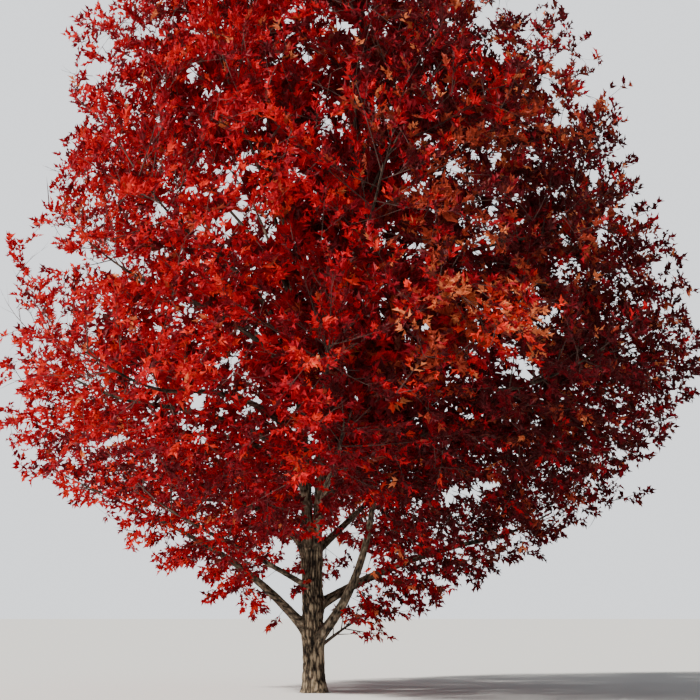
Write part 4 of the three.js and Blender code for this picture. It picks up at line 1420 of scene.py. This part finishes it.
def deal_colors(leaves, rng):
    """The number of each leaf's colour. A sprig's leaves share one, dealt to it by place and chance."""
    sprigs, first = np.unique(leaves["sprig"], return_index=True)
    weights = np.stack(list(color_weights(leaves["root"][first]).values()), axis=1) + NUDGE
    odds = np.cumsum(weights, axis=1) / weights.sum(axis=1, keepdims=True)
    colors = (rng.uniform(0, 1, len(first))[:, None] > odds).sum(axis=1)
    return colors[np.searchsorted(sprigs, leaves["sprig"])]


def build_foliage(parents, boughs):
    """The masses, and as arrays their stems, twigs, sprays and sprigs, with those that fill the crown."""
    limbs = parents + boughs
    masses = plan_masses(parents, boughs)
    sites = [mass["site"] for mass in masses]
    stems, twigs, sprays, sprigs = [], [], [], []

    def keep(own_twigs, own_sprays, own_sprigs):
        twigs.append(own_twigs)
        sprays.append(own_sprays)
        sprigs.append(own_sprigs)

    for i, mass in enumerate(masses):
        rng = np.random.default_rng(FIRST_SEED + i)
        stem = stem_curve(mass, sites, limbs)
        stems.append(bark_stem(mass, stem))
        own = stem_twigs(mass, stem, sites, rng)
        keep(own, *grow_sprays(own, leafy_space(mass, sites), rng, mass["droop"]))
    rng = np.random.default_rng(FIRST_SEED + len(masses))
    inner = inner_twigs(parents[1:] + boughs, rng)
    keep(inner, *grow_sprays(inner, inside_leafy, rng))
    filling = filling_twigs(joined(sprays), rng).cut_to(inside_leafy, SHORTEST_FILL)
    keep(filling, *grow_sprays(filling, inside_leafy, rng))
    tips = tip_twigs(joined(sprays))
    tip_sprays = joined([side_twigs(tips, rng=rng, **TIP_SPRAYS),
                         end_twigs(tips, TIP_END_SHARE, tips.length * TIP_END_LENGTH, TIP_END_ROOT)])
    keep(tips, tip_sprays, side_twigs(tip_sprays, SPRIG_SPACING, SPRIG_ANGLE, rng=rng, **TIP_SPRIGS))
    shoots = bark_shoots(limbs, rng)
    sprays.append(shoots)
    sprigs.append(side_twigs(shoots, angle=SPRIG_ANGLE, rng=rng, **SHOOT_SPRIGS))
    return masses, stems, joined(twigs), joined(sprays), joined(sprigs)


def make_foliage(parents, boughs):
    """The leaves, one piece for each colour, and the twigs and sprigs. Returns the stems for the bark."""
    masses, stems, twigs, sprays, sprigs = build_foliage(parents, boughs)
    nodes = [mass["name"] for mass in masses]
    rng = np.random.default_rng(FIRST_SEED - 1)
    sprigs = thinned(parted(sprigs, rng), rng)
    leaves = hung_leaves(leaf_places(sprigs, rng), parents + boughs)
    color_of = deal_colors(leaves, rng)
    for number, (name, color) in enumerate(LEAF_COLORS.items()):
        arrays = leaf_mesh_arrays(pick_leaves(leaves, color_of == number))
        make_piece(f"leaves_{name}", *arrays, make_leaf_material(name, color), nodes, "foliage")
    wood, _, _ = new_material("twig_bark", **TWIG_FINISH)
    twig_arrays = merge_arrays([tube_arrays(twigs, **TWIG_TUBE), tube_arrays(sprays, **SPRAY_TUBE)])
    make_piece("twigs", *twig_arrays, wood, nodes, "bark", smooth=True)
    make_piece("sprigs", *tube_arrays(sprigs, **SPRIG_TUBE), wood, nodes, "bark", smooth=True)
    return stems


def make_bark(parents, boughs, stems):
    """The bark of all limbs and stems, one piece for each row of BARK_PIECES."""
    materials = {name: make_bark_material(name) for name in BARKS}
    low = len(LOW_BOUGHS)
    for spec, limbs in zip(BARK_PIECES, (parents[:1], parents[1:], boughs[:low], stems, boughs[low:])):
        make_bark_piece(spec, limbs, materials[spec["bark"]], parents + boughs if spec["joins"] else [])


def make_camera():
    data = bpy.data.cameras.new("camera")
    data.sensor_width = SENSOR_WIDTH
    data.lens = FOCAL_PIXELS / FRAME_PIXELS * SENSOR_WIDTH
    camera = bpy.data.objects.new("camera", data)
    camera.location = CAMERA_PLACE
    camera.rotation_euler = (math.radians(90 + CAMERA_PITCH), 0, 0)
    bpy.context.scene.collection.objects.link(camera)
    bpy.context.scene.camera = camera


def make_floor():
    bpy.ops.mesh.primitive_circle_add(vertices=FLOOR_SIDES, radius=FLOOR_RADIUS, fill_type="NGON",
                                      location=(0, 0, 0))
    floor = bpy.context.object
    floor.name = "floor"
    material, _, _ = new_material("floor", **FLOOR_FINISH)
    floor.data.materials.append(material)


def make_world():
    """An even pale world that shows brighter than the light it gives."""
    world = bpy.data.worlds.new("studio")
    world.use_nodes = True
    tree = world.node_tree
    soft = tree.nodes["Background"]
    soft.inputs["Color"].default_value = WORLD_COLOR
    soft.inputs["Strength"].default_value = WORLD_LIGHT
    shown = add_node(tree, "ShaderNodeBackground", {"Color": WORLD_COLOR, "Strength": WORLD_SHOWN})
    path = add_node(tree, "ShaderNodeLightPath")
    mix = add_node(tree, "ShaderNodeMixShader")
    link(tree,
         (path, "Is Camera Ray", mix, "Fac"),
         (soft, "Background", mix, 1),
         (shown, "Background", mix, 2),
         (mix, "Shader", tree.nodes["World Output"], "Surface"))
    bpy.context.scene.world = world


def make_key_lamp():
    """One sun lamp, wide enough that its shadows are soft."""
    data = bpy.data.lights.new("key", "SUN")
    data.energy = KEY_STRENGTH
    data.angle = math.radians(KEY_ANGLE)
    data.color = KEY_COLOR
    lamp = bpy.data.objects.new("key", data)
    toward = Vector(heading(KEY_AZIMUTH, KEY_RISE))
    lamp.rotation_euler = toward.to_track_quat("Z", "Y").to_euler()
    lamp.location = toward * KEY_DISTANCE
    bpy.context.scene.collection.objects.link(lamp)


make_camera()
make_floor()
make_world()
make_key_lamp()
parents, boughs = build_limbs()
stems = make_foliage(parents, boughs)
make_bark(parents, boughs, stems)
